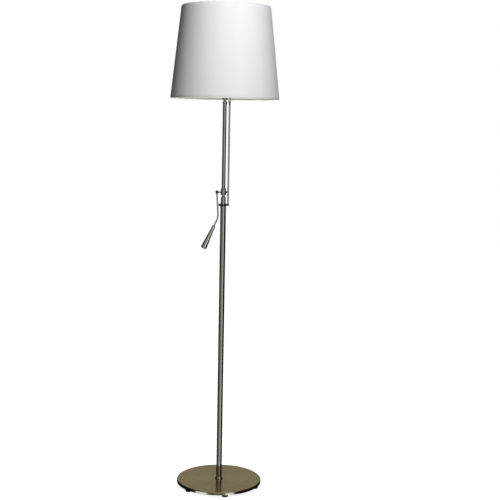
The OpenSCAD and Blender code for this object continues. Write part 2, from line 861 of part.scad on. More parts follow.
module link_lower_eye() color(nickel) translate([link_dx, 0, link_low_z]) link_eye();

module link_upper_eye() color(nickel) {
    translate([link_dx, 0, link_high_z]) mirror([0, 0, 1]) link_eye();
}

// ---- head ----

module head_fork() color(nickel) {
    dome = fork_d / 2;
    slot_end = dome + swing_gap;
    difference() {
        union() {
            translate([0, 0, dome - head_fork_drop + head_z]) {
                sphere(d = fork_d);
                cylinder(d = fork_d, h = head_rise + head_fork_drop - dome);
            }
            translate([0, -ear_t / 2, head_z + bridge_low])
                cube([link_dx, ear_t, bridge_high - bridge_low]);
            translate([link_dx - ear_r, -ear_t / 2, link_high_z])
                cube([2 * ear_r, ear_t, head_z + bridge_high - ear_r - link_high_z]);
            translate([link_dx, 0, head_z + bridge_high - ear_r]) pin_y(2 * ear_r, ear_t);
            translate([link_dx, 0, link_high_z]) pin_y(2 * ear_r, ear_t);
        }
        translate([-fork_d, -slot_w / 2, head_z - fork_d])
            cube([fork_d + slot_end, slot_w, fork_d + tongue_r + swing_gap]);
        translate([0, 0, head_z]) hinge_bores();
        translate([link_dx, 0, link_high_z]) {
            pin_y(link_pin_d + 2 * fixed_fit, 2 * ear_t);
            mirror([1, 0, 0]) eye_room(false);
        }
        translate([0, 0, head_top - head_thread])
            cylinder(d = nipple_d + 2 * fixed_fit, h = head_thread + 1);
        translate([0, 0, head_z]) cylinder(d = nipple_bore_d, h = head_rise);
    }
}

module head_pivot_bolt() color(nickel) translate([0, 0, head_z]) hinge_bolt();

module head_pivot_nut() color(nickel) translate([0, 0, head_z]) hinge_nut();

module head_friction_washers() color(nylon) translate([0, 0, head_z]) friction_washers();

module link_upper_pin() color(nickel) translate([link_dx, 0, link_high_z]) link_pin();

module head_nipple() color(steel) {
    low = head_top - head_thread + 0.5;
    translate([0, 0, low]) tube(nipple_d, nipple_bore_d, cap_z + cap_neck_h - low);
}

// ---- harp ----

module harp_saddle() color(steel) {
    tab_w = ferrule_bore_d - 0.6;
    tab_low = ferrule_z - 0.5;
    centre_d = 20;
    difference() {
        union() {
            translate([0, 0, head_top]) cylinder(d = centre_d, h = saddle_t);
            translate([-saddle_x - saddle_t / 2, -saddle_w / 2, head_top])
                cube([2 * saddle_x + saddle_t, saddle_w, saddle_t]);
            for (side = [-1, 1]) translate([side * saddle_x - saddle_t / 2, 0, head_top]) {
                translate([0, -saddle_w / 2, 0]) cube([saddle_t, saddle_w, tab_low - head_top]);
                translate([0, -tab_w / 2, 0]) cube([saddle_t, tab_w, saddle_top - head_top]);
            }
        }
        translate([0, 0, head_top - 1])
            cylinder(d = nipple_d + 4 * fixed_fit, h = saddle_t + 2);
    }
}

module harp_ferrules() color(steel) {
    for (side = [-1, 1])
        translate([side * saddle_x, 0, ferrule_z]) tube(ferrule_d, ferrule_bore_d, ferrule_len);
}

// Points of the harp's bow from its left leg over the top to its right leg
harp_rise = harp_top - harp_foot - harp_straight;
harp_flare_turn = 40;
harp_steps = 36;
function smooth_step(s) = s * s * (3 - 2 * s);
function flare(turn) = smooth_step(min(1, turn / harp_flare_turn));
function harp_half(turn) = saddle_x + (harp_half_w - saddle_x) * flare(turn);
function harp_point(turn) =
    let (up = min(turn, 180 - turn))
    [-harp_half(up) * cos(turn), 0, harp_foot + harp_straight + harp_rise * sin(turn)];
harp_points = concat(
    [[-saddle_x, 0, harp_foot]],
    [for (i = [0 : harp_steps]) harp_point(180 * i / harp_steps)],
    [[saddle_x, 0, harp_foot]]
);

module harp_bow() color(steel) {
    boss_d = 12;
    wire_xz(harp_points, harp_wire_d);
    for (side = [-1, 1]) translate([side * saddle_x, 0, harp_foot])
        cylinder(d = ferrule_bore_d - 2 * fixed_fit, h = harp_straight - 1, $fn = 24);
    translate([0, 0, harp_top - harp_boss_h / 2]) cylinder(d = boss_d, h = harp_boss_h);
    translate([0, 0, harp_top]) cylinder(d = stud_d, h = harp_boss_h / 2 + stud_len);
}

module harp_finial() color(nickel) {
    flange_d = 13;
    flange_h = 2.5;
    waist_d = 9;
    ball_z = flange_h + finial_d / 2 + 2.5;
    translate([0, 0, finial_z])
        difference() {
            union() {
                cylinder(d = flange_d, h = flange_h);
                cylinder(d = waist_d, h = ball_z);
                translate([0, 0, ball_z]) sphere(d = finial_d);
            }
            translate([0, 0, -1]) cylinder(d = stud_d + 2 * fixed_fit, h = stud_len + 1);
        }
}

// ---- lampholder ----

module cap_shape(grow) {
    cylinder(d = cap_neck_d + 2 * grow, h = cap_neck_h);
    translate([0, 0, cap_neck_h])
        cylinder(d1 = cap_neck_d + 2 * grow, d2 = shell_d + 2 * fixed_fit + 2 * grow,
                 h = cap_cone_h);
    translate([0, 0, cap_neck_h + cap_cone_h])
        cylinder(d = shell_d + 2 * fixed_fit + 2 * grow, h = cap_rim_h);
}

module lampholder_cap() color(nickel) {
    translate([0, 0, cap_z])
        difference() {
            cap_shape(shell_t);
            translate([0, 0, cap_neck_h])
                cylinder(d1 = cap_neck_d, d2 = shell_d + 2 * fixed_fit, h = cap_cone_h);
            translate([0, 0, cap_neck_h + cap_cone_h])
                cylinder(d = shell_d + 2 * fixed_fit, h = cap_rim_h + 1);
            translate([0, 0, -1]) cylinder(d = nipple_d + 2 * fixed_fit, h = cap_neck_h + 2);
        }
}

module lampholder_shell() color(nickel) {
    bead_d = 1.2;
    difference() {
        translate([0, 0, shell_z])
            rotate_extrude() {
                translate([shell_d / 2 - shell_t, 0]) square([shell_t, shell_h]);
                translate([shell_d / 2, shell_h - bead_d / 2]) circle(d = bead_d);
                translate([shell_d / 2, shell_h / 2]) circle(d = bead_d);
            }
        translate([0, 0, shell_z - 1]) cylinder(d = shell_in_d, h = shell_h + 2);
        translate([0, 0, knob_z]) rotate([90, 0, 0])
            cylinder(d = knob_shaft_d + 1, h = shell_d);
    }
}

module lampholder_liner() color(white) {
    difference() {
        translate([0, 0, shell_z + 1]) tube(liner_d, liner_in_d, shell_h - 2);
        translate([0, 0, knob_z]) rotate([90, 0, 0])
            cylinder(d = knob_shaft_d + 1, h = shell_d);
    }
}

module switch_body() color(black) {
    difference() {
        translate([0, 0, switch_z]) cylinder(d = switch_body_d, h = switch_body_h);
        translate([0, 0, knob_z]) rotate([90, 0, 0])
            cylinder(d = knob_shaft_d + 2 * run_fit, h = shell_d);
    }
}

module screw_shell() color(brass) {
    thread_gap = 0.2;
    bore_d = bulb_cap_d + 2 * thread_gap;
    translate([0, 0, switch_top]) tube(bore_d + 2 * screw_shell_t, bore_d, bulb_cap_h);
}

module centre_contact() color(brass) {
    strip_w = 6;
    strip_len = 12;
    translate([-strip_len / 2, -strip_w / 2, switch_top]) cube([strip_len, strip_w, contact_t]);
}

module switch_knob() color(black) {
    shaft_depth = 8;
    face_y = shell_d / 2 + 2.5;
    ribs = 16;
    groove_d = 1.4;
    translate([0, 0, knob_z]) rotate([90, 0, 0]) {
        translate([0, 0, shaft_depth]) cylinder(d = knob_shaft_d, h = face_y - shaft_depth);
        translate([0, 0, face_y])
            linear_extrude(knob_len)
                difference() {
                    circle(d = knob_d);
                    for (i = [0 : ribs - 1]) rotate(360 * i / ribs)
                        translate([knob_d / 2 + 0.2, 0]) circle(d = groove_d);
                }
    }
}

// ---- bulb ----

module bulb_screw_cap() color(steel) {
    cone_h = 3;
    button_d = 12;
    floor_t = 1.5;
    translate([0, 0, bulb_cap_z])
        difference() {
            union() {
                cylinder(d1 = button_d, d2 = bulb_cap_d, h = cone_h);
                translate([0, 0, cone_h]) cylinder(d = bulb_cap_d, h = bulb_cap_h - cone_h);
            }
            translate([0, 0, cone_h + floor_t])
                cylinder(d = bulb_cap_d - 2 * bulb_cap_wall, h = bulb_cap_h);
        }
}

module bulb_tip_contact() color(brass) {
    translate([0, 0, bulb_cap_z - bulb_contact]) cylinder(d1 = 6, d2 = 9, h = bulb_contact);
}

module bulb_solid(inset) {
    rotate_extrude()
        intersection() {
            translate([0, -inset]) square([bulb_d, 4 * bulb_d]);
            union() {
                square([bulb_neck_d / 2 - inset, bulb_neck_h]);
                polygon([
                    [0, bulb_neck_h - inset],
                    [bulb_neck_d / 2 - inset, bulb_neck_h],
                    [bulb_shoulder_r - inset * cos(bulb_slope),
                     bulb_neck_h + bulb_shoulder_h + inset * sin(bulb_slope)],
                    [0, bulb_neck_h + bulb_shoulder_h + inset * sin(bulb_slope)]
                ]);
                translate([0, bulb_centre - bulb_neck_z]) circle(d = bulb_d - 2 * inset);
            }
        }
}

module bulb_glass() color([0.95, 0.95, 0.92]) {
    translate([0, 0, bulb_neck_z])
        difference() {
            bulb_solid(0);
            translate([0, 0, -0.01]) bulb_solid(bulb_wall);
        }
}

// ---- shade ----

module shade_ring(z) {
    translate([0, 0, z]) rotate_extrude() translate([wire_ring_r(z), 0]) circle(wire_r);
}

module shade_top_spider() color(steel) {
    ring_z = shade_top - wire_inset;
    arm_r = wire_ring_r(ring_z);
    arm_d = shade_wire_d - 0.4;
    arm_z = spider_z + spider_t / 2;
    bend_r = 8;
    shade_ring(ring_z);
    translate([0, 0, spider_z]) tube(spider_washer_d, stud_d + 0.4, spider_t);
    for (i = [0 : spider_arms - 1]) rotate(90 + 360 * i / spider_arms) {
        translate([0, 0, arm_z]) bar_x(arm_d, spider_washer_d / 2 - 2, arm_r - bend_r);
        translate([arm_r - bend_r, 0, arm_z + bend_r]) rotate([90, 0, 0]) rotate(-90)
            rotate_extrude(angle = 90) translate([bend_r, 0]) circle(d = arm_d);
        translate([arm_r, 0, arm_z + bend_r])
            cylinder(d = arm_d, h = ring_z - arm_z - bend_r);
    }
}

module shade_bottom_ring() color(steel) shade_ring(shade_z + wire_inset);

module shade_skin() color(white) {
    translate([0, 0, shade_z])
        difference() {
            cylinder(d1 = shade_bottom_d, d2 = shade_top_d, h = shade_h);
            cylinder(d1 = shade_bottom_d - 2 * shade_wall, d2 = shade_top_d - 2 * shade_wall,
                     h = shade_h);
        }
}

base_cover();
base_weight();
base_plate();
rubber_feet();
foot_screws();
lead_inlet_bushing();
base_nipple();
base_lock_washer();
base_lock_nut();
post_foot_collar();
post_foot_insert();
post_tube();
post_fork();
link_collar();
collar_grub_screw();
arm_pivot_bolt();
arm_pivot_nut();
arm_friction_washers();
link_lower_pin();
arm_lower_fitting();
arm_tube();
arm_upper_fitting();
handle_cross_bar();
cross_bar_cap_nut();
handle_clamp_block();
clamp_grub_screw();
handle_rod();
handle_grip();
link_rod();
link_lower_eye();
link_upper_eye();
head_fork();
head_pivot_bolt();
head_pivot_nut();
head_friction_washers();
link_upper_pin();
head_nipple();
harp_saddle();
harp_ferrules();
harp_bow();
harp_finial();
lampholder_cap();
lampholder_shell();
lampholder_liner();
switch_body();
screw_shell();
centre_contact();
switch_knob();
bulb_screw_cap();
bulb_tip_contact();
bulb_glass();
shade_top_spider();
shade_bottom_ring();
shade_skin();
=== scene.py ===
"""Swing arm floor lamp: the visible pieces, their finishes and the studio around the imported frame.

The round base, post, hinges, link and head come from the frame and get their finish here. The
cloth shade with its liner, the harp's wire, the handle's bent rod, the bulb and the rubber feet
are made here. All lengths are metres in the frame's own axes.
"""
import json
import math

import bpy
from mathutils import Matrix, Vector


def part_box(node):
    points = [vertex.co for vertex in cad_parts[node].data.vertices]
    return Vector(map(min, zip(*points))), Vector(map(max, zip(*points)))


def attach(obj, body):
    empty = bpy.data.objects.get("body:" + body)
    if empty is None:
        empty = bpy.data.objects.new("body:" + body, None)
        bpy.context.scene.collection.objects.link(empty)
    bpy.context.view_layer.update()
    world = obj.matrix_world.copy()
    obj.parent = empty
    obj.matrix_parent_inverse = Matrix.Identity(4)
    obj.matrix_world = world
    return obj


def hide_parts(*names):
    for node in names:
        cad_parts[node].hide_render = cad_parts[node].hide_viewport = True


bl_info = {
    "name": "Swing arm floor lamp",
    "version": (1, 0, 0),
    "blender": (4, 5, 0),
    "location": "3D View > Sidebar > Floor lamp",
    "description": "Builds the cloth shade, wires, bulb, feet, finishes and studio of a floor lamp",
    "category": "Object",
}

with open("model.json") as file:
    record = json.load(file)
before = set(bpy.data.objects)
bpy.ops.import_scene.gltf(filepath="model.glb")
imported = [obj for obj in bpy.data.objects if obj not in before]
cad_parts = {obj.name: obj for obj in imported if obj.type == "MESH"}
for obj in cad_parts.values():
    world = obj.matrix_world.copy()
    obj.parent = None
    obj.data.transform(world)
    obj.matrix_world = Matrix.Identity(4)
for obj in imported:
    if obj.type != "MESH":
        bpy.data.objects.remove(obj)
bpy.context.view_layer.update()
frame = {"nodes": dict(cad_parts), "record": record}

MM = 0.001
ON_AXIS = 1e-9
SHADE_LOW, SHADE_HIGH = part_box("shade_skin")
RING_LOW, RING_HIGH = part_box("shade_bottom_ring")
SPIDER_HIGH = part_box("shade_top_spider")[1]


# ---- finishes ----

class Link:
    """A socket in a finish. Arithmetic on it adds Math nodes."""

    def __init__(self, finish, socket):
        self.finish, self.socket = finish, socket

    def math(self, operation, *values):
        return self.finish.node(
            "ShaderNodeMath", {"operation": operation}, dict(enumerate(values)))

    def __add__(self, other):
        return self.math("ADD", self, other)

    def __sub__(self, other):
        return self.math("SUBTRACT", self, other)

    def __rsub__(self, other):
        return self.math("SUBTRACT", other, self)

    def __mul__(self, other):
        return self.math("MULTIPLY", self, other)

    __radd__ = __add__
    __rmul__ = __mul__

    def power(self, exponent):
        return self.math("POWER", self, exponent)

    def sine(self):
        return self.math("SINE", self)

    def size(self):
        return self.math("ABSOLUTE", self)

    def between(self, low, high):
        """0 below low, 1 above high, smooth in between."""
        return self.finish.node(
            "ShaderNodeMapRange", {"interpolation_type": "SMOOTHSTEP"},
            {"Value": self, "From Min": low, "From Max": high, "To Min": 0.0, "To Max": 1.0})


class Finish:
    """A material under construction. Every node of it comes from node()."""

    def __init__(self, name):
        self.material = bpy.data.materials.new(name)
        self.material.use_nodes = True
        self.tree = self.material.node_tree
        self.tree.nodes.clear()

    def node(self, kind, settings=None, values=None, out=0):
        """Adds a node: its settings first, then the values or links of its sockets."""
        made = self.tree.nodes.new(kind)
        for name, value in (settings or {}).items():
            setattr(made, name, value)
        for key, value in (values or {}).items():
            if isinstance(value, Link):
                self.tree.links.new(value.socket, made.inputs[key])
            else:
                made.inputs[key].default_value = value
        return Link(self, made.outputs[out]) if made.outputs else None

    def point(self):
        """Where the surface is, in metres, moving with the piece."""
        return self.node("ShaderNodeTexCoord", out="Object")

    def parts(self, vector):
        """The X, Y and Z of a vector."""
        return [self.node("ShaderNodeSeparateXYZ", None, {0: vector}, axis) for axis in range(3)]

    def vector(self, x, y, z):
        return self.node("ShaderNodeCombineXYZ", None, {0: x, 1: y, 2: z})

    def stretched(self, factors):
        """The surface point with each axis multiplied by its factor."""
        return self.node(
            "ShaderNodeVectorMath", {"operation": "MULTIPLY"}, {0: self.point(), 1: factors})

    def noise(self, vector, scale, detail=3.0, roughness=0.55):
        return self.node(
            "ShaderNodeTexNoise", None,
            {"Vector": vector, "Scale": scale, "Detail": detail, "Roughness": roughness})

    def blend(self, amount, first, second):
        """First colour where amount is 0, second where it is 1."""
        return self.node(
            "ShaderNodeMix", {"data_type": "RGBA"}, {0: amount, 6: first, 7: second}, 2)

    def bump(self, height, depth, strength=1.0, under=None):
        """Normals of a relief as deep as depth, over the normals of another one under it."""
        values = {"Height": height, "Distance": depth, "Strength": strength}
        if under is not None:
            values["Normal"] = under
        return self.node("ShaderNodeBump", None, values)

    def eased(self, radius):
        """Normals that run smoothly over crisp edges, as after tumbling or plating."""
        return self.node("ShaderNodeBevel", {"samples": 4}, {"Radius": radius})

    def surface(self, **values):
        """The shader itself. Keyword names are the socket names with _ for a space."""
        shader = self.node(
            "ShaderNodeBsdfPrincipled", None,
            {key.replace("_", " "): value for key, value in values.items()})
        self.node("ShaderNodeOutputMaterial", None, {"Surface": shader})
        return self.material


def grey(value):
    return (value, value, value, 1.0)


def tint(colour, factor):
    """A colour made lighter or darker by a factor."""
    return (*(min(1.0, channel * factor) for channel in colour[:3]), 1.0)


def brushed_rings(name, colour):
    """Plated steel turned on a lathe: fine rings round the Z axis, faint marks of handling."""
    finish = Finish(name)
    x, y, z = finish.parts(finish.point())
    radius = (x * x + y * y).power(0.5)
    turn = finish.node("ShaderNodeMath", {"operation": "ARCTAN2"}, {0: y, 1: x})
    rings = finish.noise(finish.vector(radius * 2600.0, turn * 1.6, z * 2600.0), 1.0, 2.0)
    bands = finish.noise(finish.vector(radius * 160.0, turn * 0.8, z * 160.0), 1.0, 2.0)
    sweeps = finish.noise(finish.vector(radius * 3.0, turn * 7.0, 0.0), 1.0, 3.0)
    marks = finish.noise(finish.point(), 14.0, 5.0)
    shade = (rings * 0.35 + bands * 0.35 + sweeps * 0.3).between(0.3, 0.7)
    colour_here = finish.blend(shade, tint(colour, 0.88), tint(colour, 1.1))
    worn = finish.blend(marks.between(0.58, 0.75) * 0.25, colour_here, tint(colour, 0.7))
    return finish.surface(
        Base_Color=worn, Metallic=1.0, Specular_Tint=(0.95, 0.88, 0.7, 1.0),
        Roughness=rings * 0.1 + marks * 0.08 + 0.14,
        Anisotropic=0.55, Anisotropic_Rotation=0.25,
        Normal=finish.bump(
            rings, 0.02 * MM, 0.5, finish.bump(bands, 0.03 * MM, 0.4, finish.eased(0.4 * MM))))


def brushed_along(name, colour):
    """Satin plating with its fine brush marks along the upright tubes."""
    finish = Finish(name)
    lines = finish.noise(finish.stretched((2400.0, 2400.0, 16.0)), 1.0, 3.0)
    streaks = finish.noise(finish.stretched((420.0, 420.0, 5.0)), 1.0, 3.0)
    marks = finish.noise(finish.point(), 22.0, 5.0)
    cloud = finish.noise(finish.point(), 4.0, 2.0)
    shade = (lines * 0.5 + streaks * 0.5).between(0.32, 0.68)
    colour_here = finish.blend(shade, tint(colour, 0.9), tint(colour, 1.08))
    handled = finish.blend(marks.between(0.6, 0.78) * 0.2, colour_here, tint(colour, 0.72))
    return finish.surface(
        Base_Color=handled, Metallic=1.0,
        Roughness=lines * 0.08 + marks * 0.08 + cloud * 0.06 + 0.02,
        Normal=finish.bump(lines, 0.004 * MM, 0.3, finish.eased(0.3 * MM)))


def polished(name, colour):
    """Bright plating with hair scratches, finger marks and a faint haze."""
    finish = Finish(name)
    scratches = finish.noise(finish.stretched((900.0, 900.0, 90.0)), 1.0, 2.0, 0.7)
    hair = scratches.between(0.62, 0.66) - scratches.between(0.66, 0.7)
    marks = finish.noise(finish.point(), 60.0, 5.0)
    haze = finish.noise(finish.point(), 9.0, 2.0)
    colour_here = finish.blend(marks.between(0.5, 0.8) * 0.3, tint(colour, 1.0), tint(colour, 0.82))
    return finish.surface(
        Base_Color=colour_here, Metallic=1.0,
        Roughness=hair * 0.14 + marks * 0.07 + haze * 0.04 + 0.07,
        Normal=finish.bump(hair, 0.004 * MM, 0.4, finish.eased(0.25 * MM)))


def cast(name, colour):
    """Sand cast iron under a thin coat of paint."""
    finish = Finish(name)
    sand = finish.noise(finish.point(), 900.0, 4.0, 0.7)
    lumps = finish.noise(finish.point(), 120.0, 3.0)
    colour_here = finish.blend(lumps, tint(colour, 0.75), tint(colour, 1.25))
    return finish.surface(
        Base_Color=colour_here, Metallic=0.4, Roughness=sand * 0.25 + 0.5,
        Normal=finish.bump(sand, 0.25 * MM, 0.7, finish.bump(lumps, 0.4 * MM, 0.4)))


def powder_coat(name, colour):
    """Matt powder coat with its orange peel."""
    finish = Finish(name)
    peel = finish.noise(finish.point(), 650.0, 2.0)
    dust = finish.noise(finish.point(), 30.0, 5.0)
    colour_here = finish.blend(dust.between(0.5, 0.8) * 0.3, tint(colour, 1.0), grey(0.12))
    return finish.surface(
        Base_Color=colour_here, Roughness=peel * 0.12 + dust * 0.15 + 0.38,
        Normal=finish.bump(peel, 0.06 * MM, 0.6))


def rubber(name, colour):
    """Moulded rubber: fine grain, dust near the floor."""
    finish = Finish(name)
    height = finish.parts(finish.point())[2]
    grain = finish.noise(finish.point(), 1500.0, 3.0)
    dust = finish.noise(finish.point(), 180.0, 4.0)
    low = 1 - height.between(0.0, 2.5 * MM)
    colour_here = finish.blend(
        dust.between(0.35, 0.75) * (low * 0.5 + 0.12), tint(colour, 1.0), (0.17, 0.16, 0.15, 1.0))
    return finish.surface(
        Base_Color=colour_here, Roughness=grain * 0.2 + 0.62,
        Normal=finish.bump(grain, 0.05 * MM, 0.6))


def zinc(name, colour):
    """Zinc plated steel with its faint blue and yellow clouds."""
    finish = Finish(name)
    cloud = finish.noise(finish.point(), 70.0, 4.0)
    spots = finish.noise(finish.point(), 700.0, 3.0)
    warm, cool = (colour[0], colour[1] * 0.97, colour[2] * 0.86, 1.0), tint(colour, 0.92)
    return finish.surface(
        Base_Color=finish.blend(cloud.between(0.35, 0.65), cool, warm), Metallic=1.0,
        Roughness=cloud * 0.15 + spots * 0.12 + 0.2,
        Normal=finish.bump(spots, 0.015 * MM, 0.5, finish.eased(0.2 * MM)))


def moulded(name, colour, rough):
    """Moulded plastic or pressed board with a fine grain and slightly uneven colour."""
    finish = Finish(name)
    grain = finish.noise(finish.point(), 900.0, 3.0)
    flow = finish.noise(finish.stretched((60.0, 60.0, 20.0)), 1.0, 4.0)
    colour_here = finish.blend(flow.between(0.3, 0.7), tint(colour, 0.88), tint(colour, 1.08))
    return finish.surface(
        Base_Color=colour_here, Roughness=grain * 0.16 + flow * 0.08 + (rough - 0.12),
        Normal=finish.bump(grain, 0.03 * MM, 0.6))


def brass(name, colour):
    """Pressed brass with darker tarnish in patches."""
    finish = Finish(name)
    tarnish = finish.noise(finish.point(), 160.0, 5.0)
    drawn = finish.noise(finish.stretched((1500.0, 1500.0, 60.0)), 1.0, 2.0)
    dark = (colour[0] * 0.55, colour[1] * 0.48, colour[2] * 0.45, 1.0)
    return finish.surface(
        Base_Color=finish.blend(tarnish.between(0.45, 0.75) * 0.6, tint(colour, 1.0), dark),
        Metallic=1.0, Roughness=tarnish * 0.2 + drawn * 0.08 + 0.12,
        Normal=finish.bump(drawn, 0.01 * MM, 0.5))


def opal(name, colour):
    """Glass frosted white on its inside, glossy outside."""
    finish = Finish(name)
    frost = finish.noise(finish.point(), 110.0, 4.0)
    ripple = finish.noise(finish.point(), 26.0, 1.0)
    return finish.surface(
        Base_Color=finish.blend(frost, tint(colour, 0.94), tint(colour, 1.0)),
        Roughness=frost * 0.04 + 0.06, Coat_Weight=0.4,
        Normal=finish.bump(ripple, 0.15 * MM, 0.3))


def enamel(name, colour):
    """White stove enamel on wire, thicker and thinner in places."""
    finish = Finish(name)
    runs = finish.noise(finish.point(), 140.0, 3.0)
    chips = finish.noise(finish.point(), 800.0, 4.0)
    whole = finish.blend(runs, tint(colour, 0.94), tint(colour, 1.0))
    return finish.surface(
        Base_Color=finish.blend(chips.between(0.72, 0.76) * 0.5, whole, grey(0.45)),
        Roughness=runs * 0.12 + 0.28, Normal=finish.bump(runs, 0.08 * MM, 0.4))


def woven(name, colour, pitch):
    """Plain weave cotton round a cone, with thicker yarns here and there, and painted shade in the dips
    between its threads.
    """
    finish = Finish(name)
    x, y, z = finish.parts(finish.point())
    turn = finish.node("ShaderNodeMath", {"operation": "ARCTAN2"}, {0: y, 1: x})
    mean_radius = 0.162
    count = round(math.tau * mean_radius / pitch)
    warp, weft = (turn * (count / 2)).sine(), (z * (math.pi / pitch)).sine()
    over = (warp * weft).between(-0.25, 0.25)
    threads = warp.size().power(0.7) * over + weft.size().power(0.7) * (1 - over)
    yarns = finish.noise(finish.vector(turn * 9.0, z * 1700.0, 0.0), 1.0, 2.0)
    cross_yarns = finish.noise(finish.vector(turn * 260.0, z * 22.0, 3.0), 1.0, 2.0)
    slubs = yarns.between(0.6, 0.78) * 0.7 + cross_yarns.between(0.64, 0.8) * 0.3
    clouds = finish.noise(finish.point(), 9.0, 3.0)
    tone = slubs * 0.5 + clouds.between(0.25, 0.8) * 0.25
    colour_here = finish.blend(tone, tint(colour, 1.0), tint(colour, 0.93))
    # Painted shade: where the thread height is low, between threads, the colour is a little darker than
    # on the thread crowns.
    weave = finish.blend(threads * 0.5, tint(colour, 0.97), colour_here)
    height = threads * 0.6 + slubs * 0.7
    return finish.surface(
        Base_Color=weave, Roughness=(1 - threads) * 0.1 + 0.8, Specular_IOR_Level=0.3,
        Sheen_Weight=0.1, Sheen_Roughness=0.5, Normal=finish.bump(height, 0.12 * MM, 0.8))


def liner_sheet(name, colour):
    """The shade's smooth plastic liner, faintly rippled where the cloth is glued on."""
    finish = Finish(name)
    ripple = finish.noise(finish.point(), 40.0, 3.0)
    print_through = finish.noise(finish.stretched((500.0, 500.0, 1200.0)), 1.0, 2.0)
    return finish.surface(
        Base_Color=finish.blend(ripple, tint(colour, 0.97), tint(colour, 1.03)),
        Roughness=ripple * 0.15 + 0.35,
        Normal=finish.bump(print_through, 0.04 * MM, 0.4, finish.bump(ripple, 0.3 * MM, 0.3)))


def slot_colour(slot):
    """The record's colour for a material slot."""
    return next(m["base_color"] for m in frame["record"]["materials"] if m["slot"] == slot)


def make_finishes(settings):
    """One finish per material slot of the record, and the shade's liner."""
    makers = {
        "brushed_bronze": brushed_rings, "satin_nickel": brushed_along,
        "polished_nickel": polished, "dark_chrome": polished, "cast_iron": cast,
        "black_paint": powder_coat, "rubber": rubber, "zinc_steel": zinc, "brass": brass,
        "opal_glass": opal, "white_wire": enamel, "liner": liner_sheet,
    }
    plain = {"black_plastic": 0.5, "nylon": 0.55, "fibre_board": 0.75, "phenolic": 0.25}
    own = {"brushed_bronze": settings.base_colour, "satin_nickel": settings.satin_colour,
           "polished_nickel": settings.polished_colour, "shade_fabric": settings.cloth_colour,
           "liner": settings.liner_colour}
    made = {}
    for slot in [*makers, *plain, "shade_fabric"]:
        colour = tuple(own[slot]) if slot in own else slot_colour(slot)
        if slot in makers:
            made[slot] = makers[slot](slot + "_finish", colour)
        elif slot in plain:
            made[slot] = moulded(slot + "_finish", colour, plain[slot])
        else:
            made[slot] = woven(slot + "_finish", colour, settings.weave_pitch)
    return made


# ---- meshes ----

def add_piece(name, points, faces, finish, sharp=35.0):
    """A shown mesh with one finish. Edges sharper than the angle in degrees stay crisp."""
    mesh = bpy.data.meshes.new(name)
    mesh.from_pydata([tuple(p) for p in points], [], faces)
    mesh.validate()
    mesh.polygons.foreach_set("use_smooth", [True] * len(mesh.polygons))
    mesh.set_sharp_from_angle(angle=math.radians(sharp))
    mesh.materials.append(bpy.data.materials[finish])
    piece = bpy.data.objects.new(name, mesh)
    bpy.context.scene.collection.objects.link(piece)
    return piece


def ring_faces(rows, sides, closed):
    """Quads between rows of points that each go once round. Closed joins the last row to the first."""
    faces = []
    for row in range(rows if closed else rows - 1):
        here, there = row * sides, (row + 1) % rows * sides
        for k in range(sides):
            after = (k + 1) % sides
            faces.append((here + k, here + after, there + after, there + k))
    return faces


def lathe(profile, steps, shape=None, start=0):
    """Points and faces of a closed profile of (radius, height) turned once round Z.

    The profile runs anticlockwise with radius to the right and height up. Points on the axis
    are shared. shape(radius, height, turn) may change a radius, as a thread does.
    """
    points, rows, faces = [], [], []
    for radius, height in profile:
        if radius < ON_AXIS:
            rows.append([start + len(points)] * steps)
            points.append((0.0, 0.0, height))
            continue
        rows.append([start + len(points) + k for k in range(steps)])
        for k in range(steps):
            turn = math.tau * k / steps
            r = shape(radius, height, turn) if shape else radius
            points.append((r * math.cos(turn), r * math.sin(turn), height))
    for row, after_row in zip(rows, rows[1:] + rows[:1]):
        for k in range(steps):
            after = (k + 1) % steps
            corners = [row[k], row[after], after_row[after], after_row[k]]
            face = [c for i, c in enumerate(corners) if c not in corners[:i]]
            if len(face) > 2:
                faces.append(tuple(face))
    return points, faces


def sweep(line, radii, sides):
    """Points and faces of a round bar along a line that stays in one upright plane."""
    points, count = [], len(line)
    for i, (at, radius) in enumerate(zip(line, radii)):
        before, after = line[max(0, i - 1)], line[min(count - 1, i + 1)]
        along = (Vector(after) - Vector(before)).normalized()
        side = Vector((0.0, 1.0, 0.0))
        across = side.cross(along).normalized()
        for k in range(sides):
            turn = math.tau * k / sides
            points.append(Vector(at) + (across * math.cos(turn) + side * math.sin(turn)) * radius)
    faces = ring_faces(count, sides, False)
    faces.append(tuple(reversed(range(sides))))
    faces.append(tuple(range((count - 1) * sides, count * sides)))
    return points, faces


def smooth_step(share):
    """0 below 0, 1 above 1, smooth in between."""
    share = max(0.0, min(1.0, share))
    return share * share * (3 - 2 * share)


def bend(first, corner, last, steps):
    """Points of a rounded corner, from first towards corner and on to last."""
    made = []
    for i in range(steps + 1):
        t = i / steps
        made.append(tuple(
            (1 - t) ** 2 * a + 2 * t * (1 - t) * b + t * t * c
            for a, b, c in zip(first, corner, last)))
    return made


def rounded(profile, radius):
    """The same closed profile with each corner rounded, by less where a side is short."""
    made, count, most, steps = [], len(profile), 0.45, 4
    for i, corner in enumerate(profile):
        before, after = profile[i - 1], profile[(i + 1) % count]
        if corner[0] < ON_AXIS:
            made.append(corner)
            continue
        cut = [min(radius, most * math.dist(corner, end)) / math.dist(corner, end)
               for end in (before, after)]
        first, last = (
            tuple(c + (e - c) * share for c, e in zip(corner, end))
            for end, share in zip((before, after), cut))
        made.extend(bend(first, corner, last, steps))
    return made


# ---- the shade ----

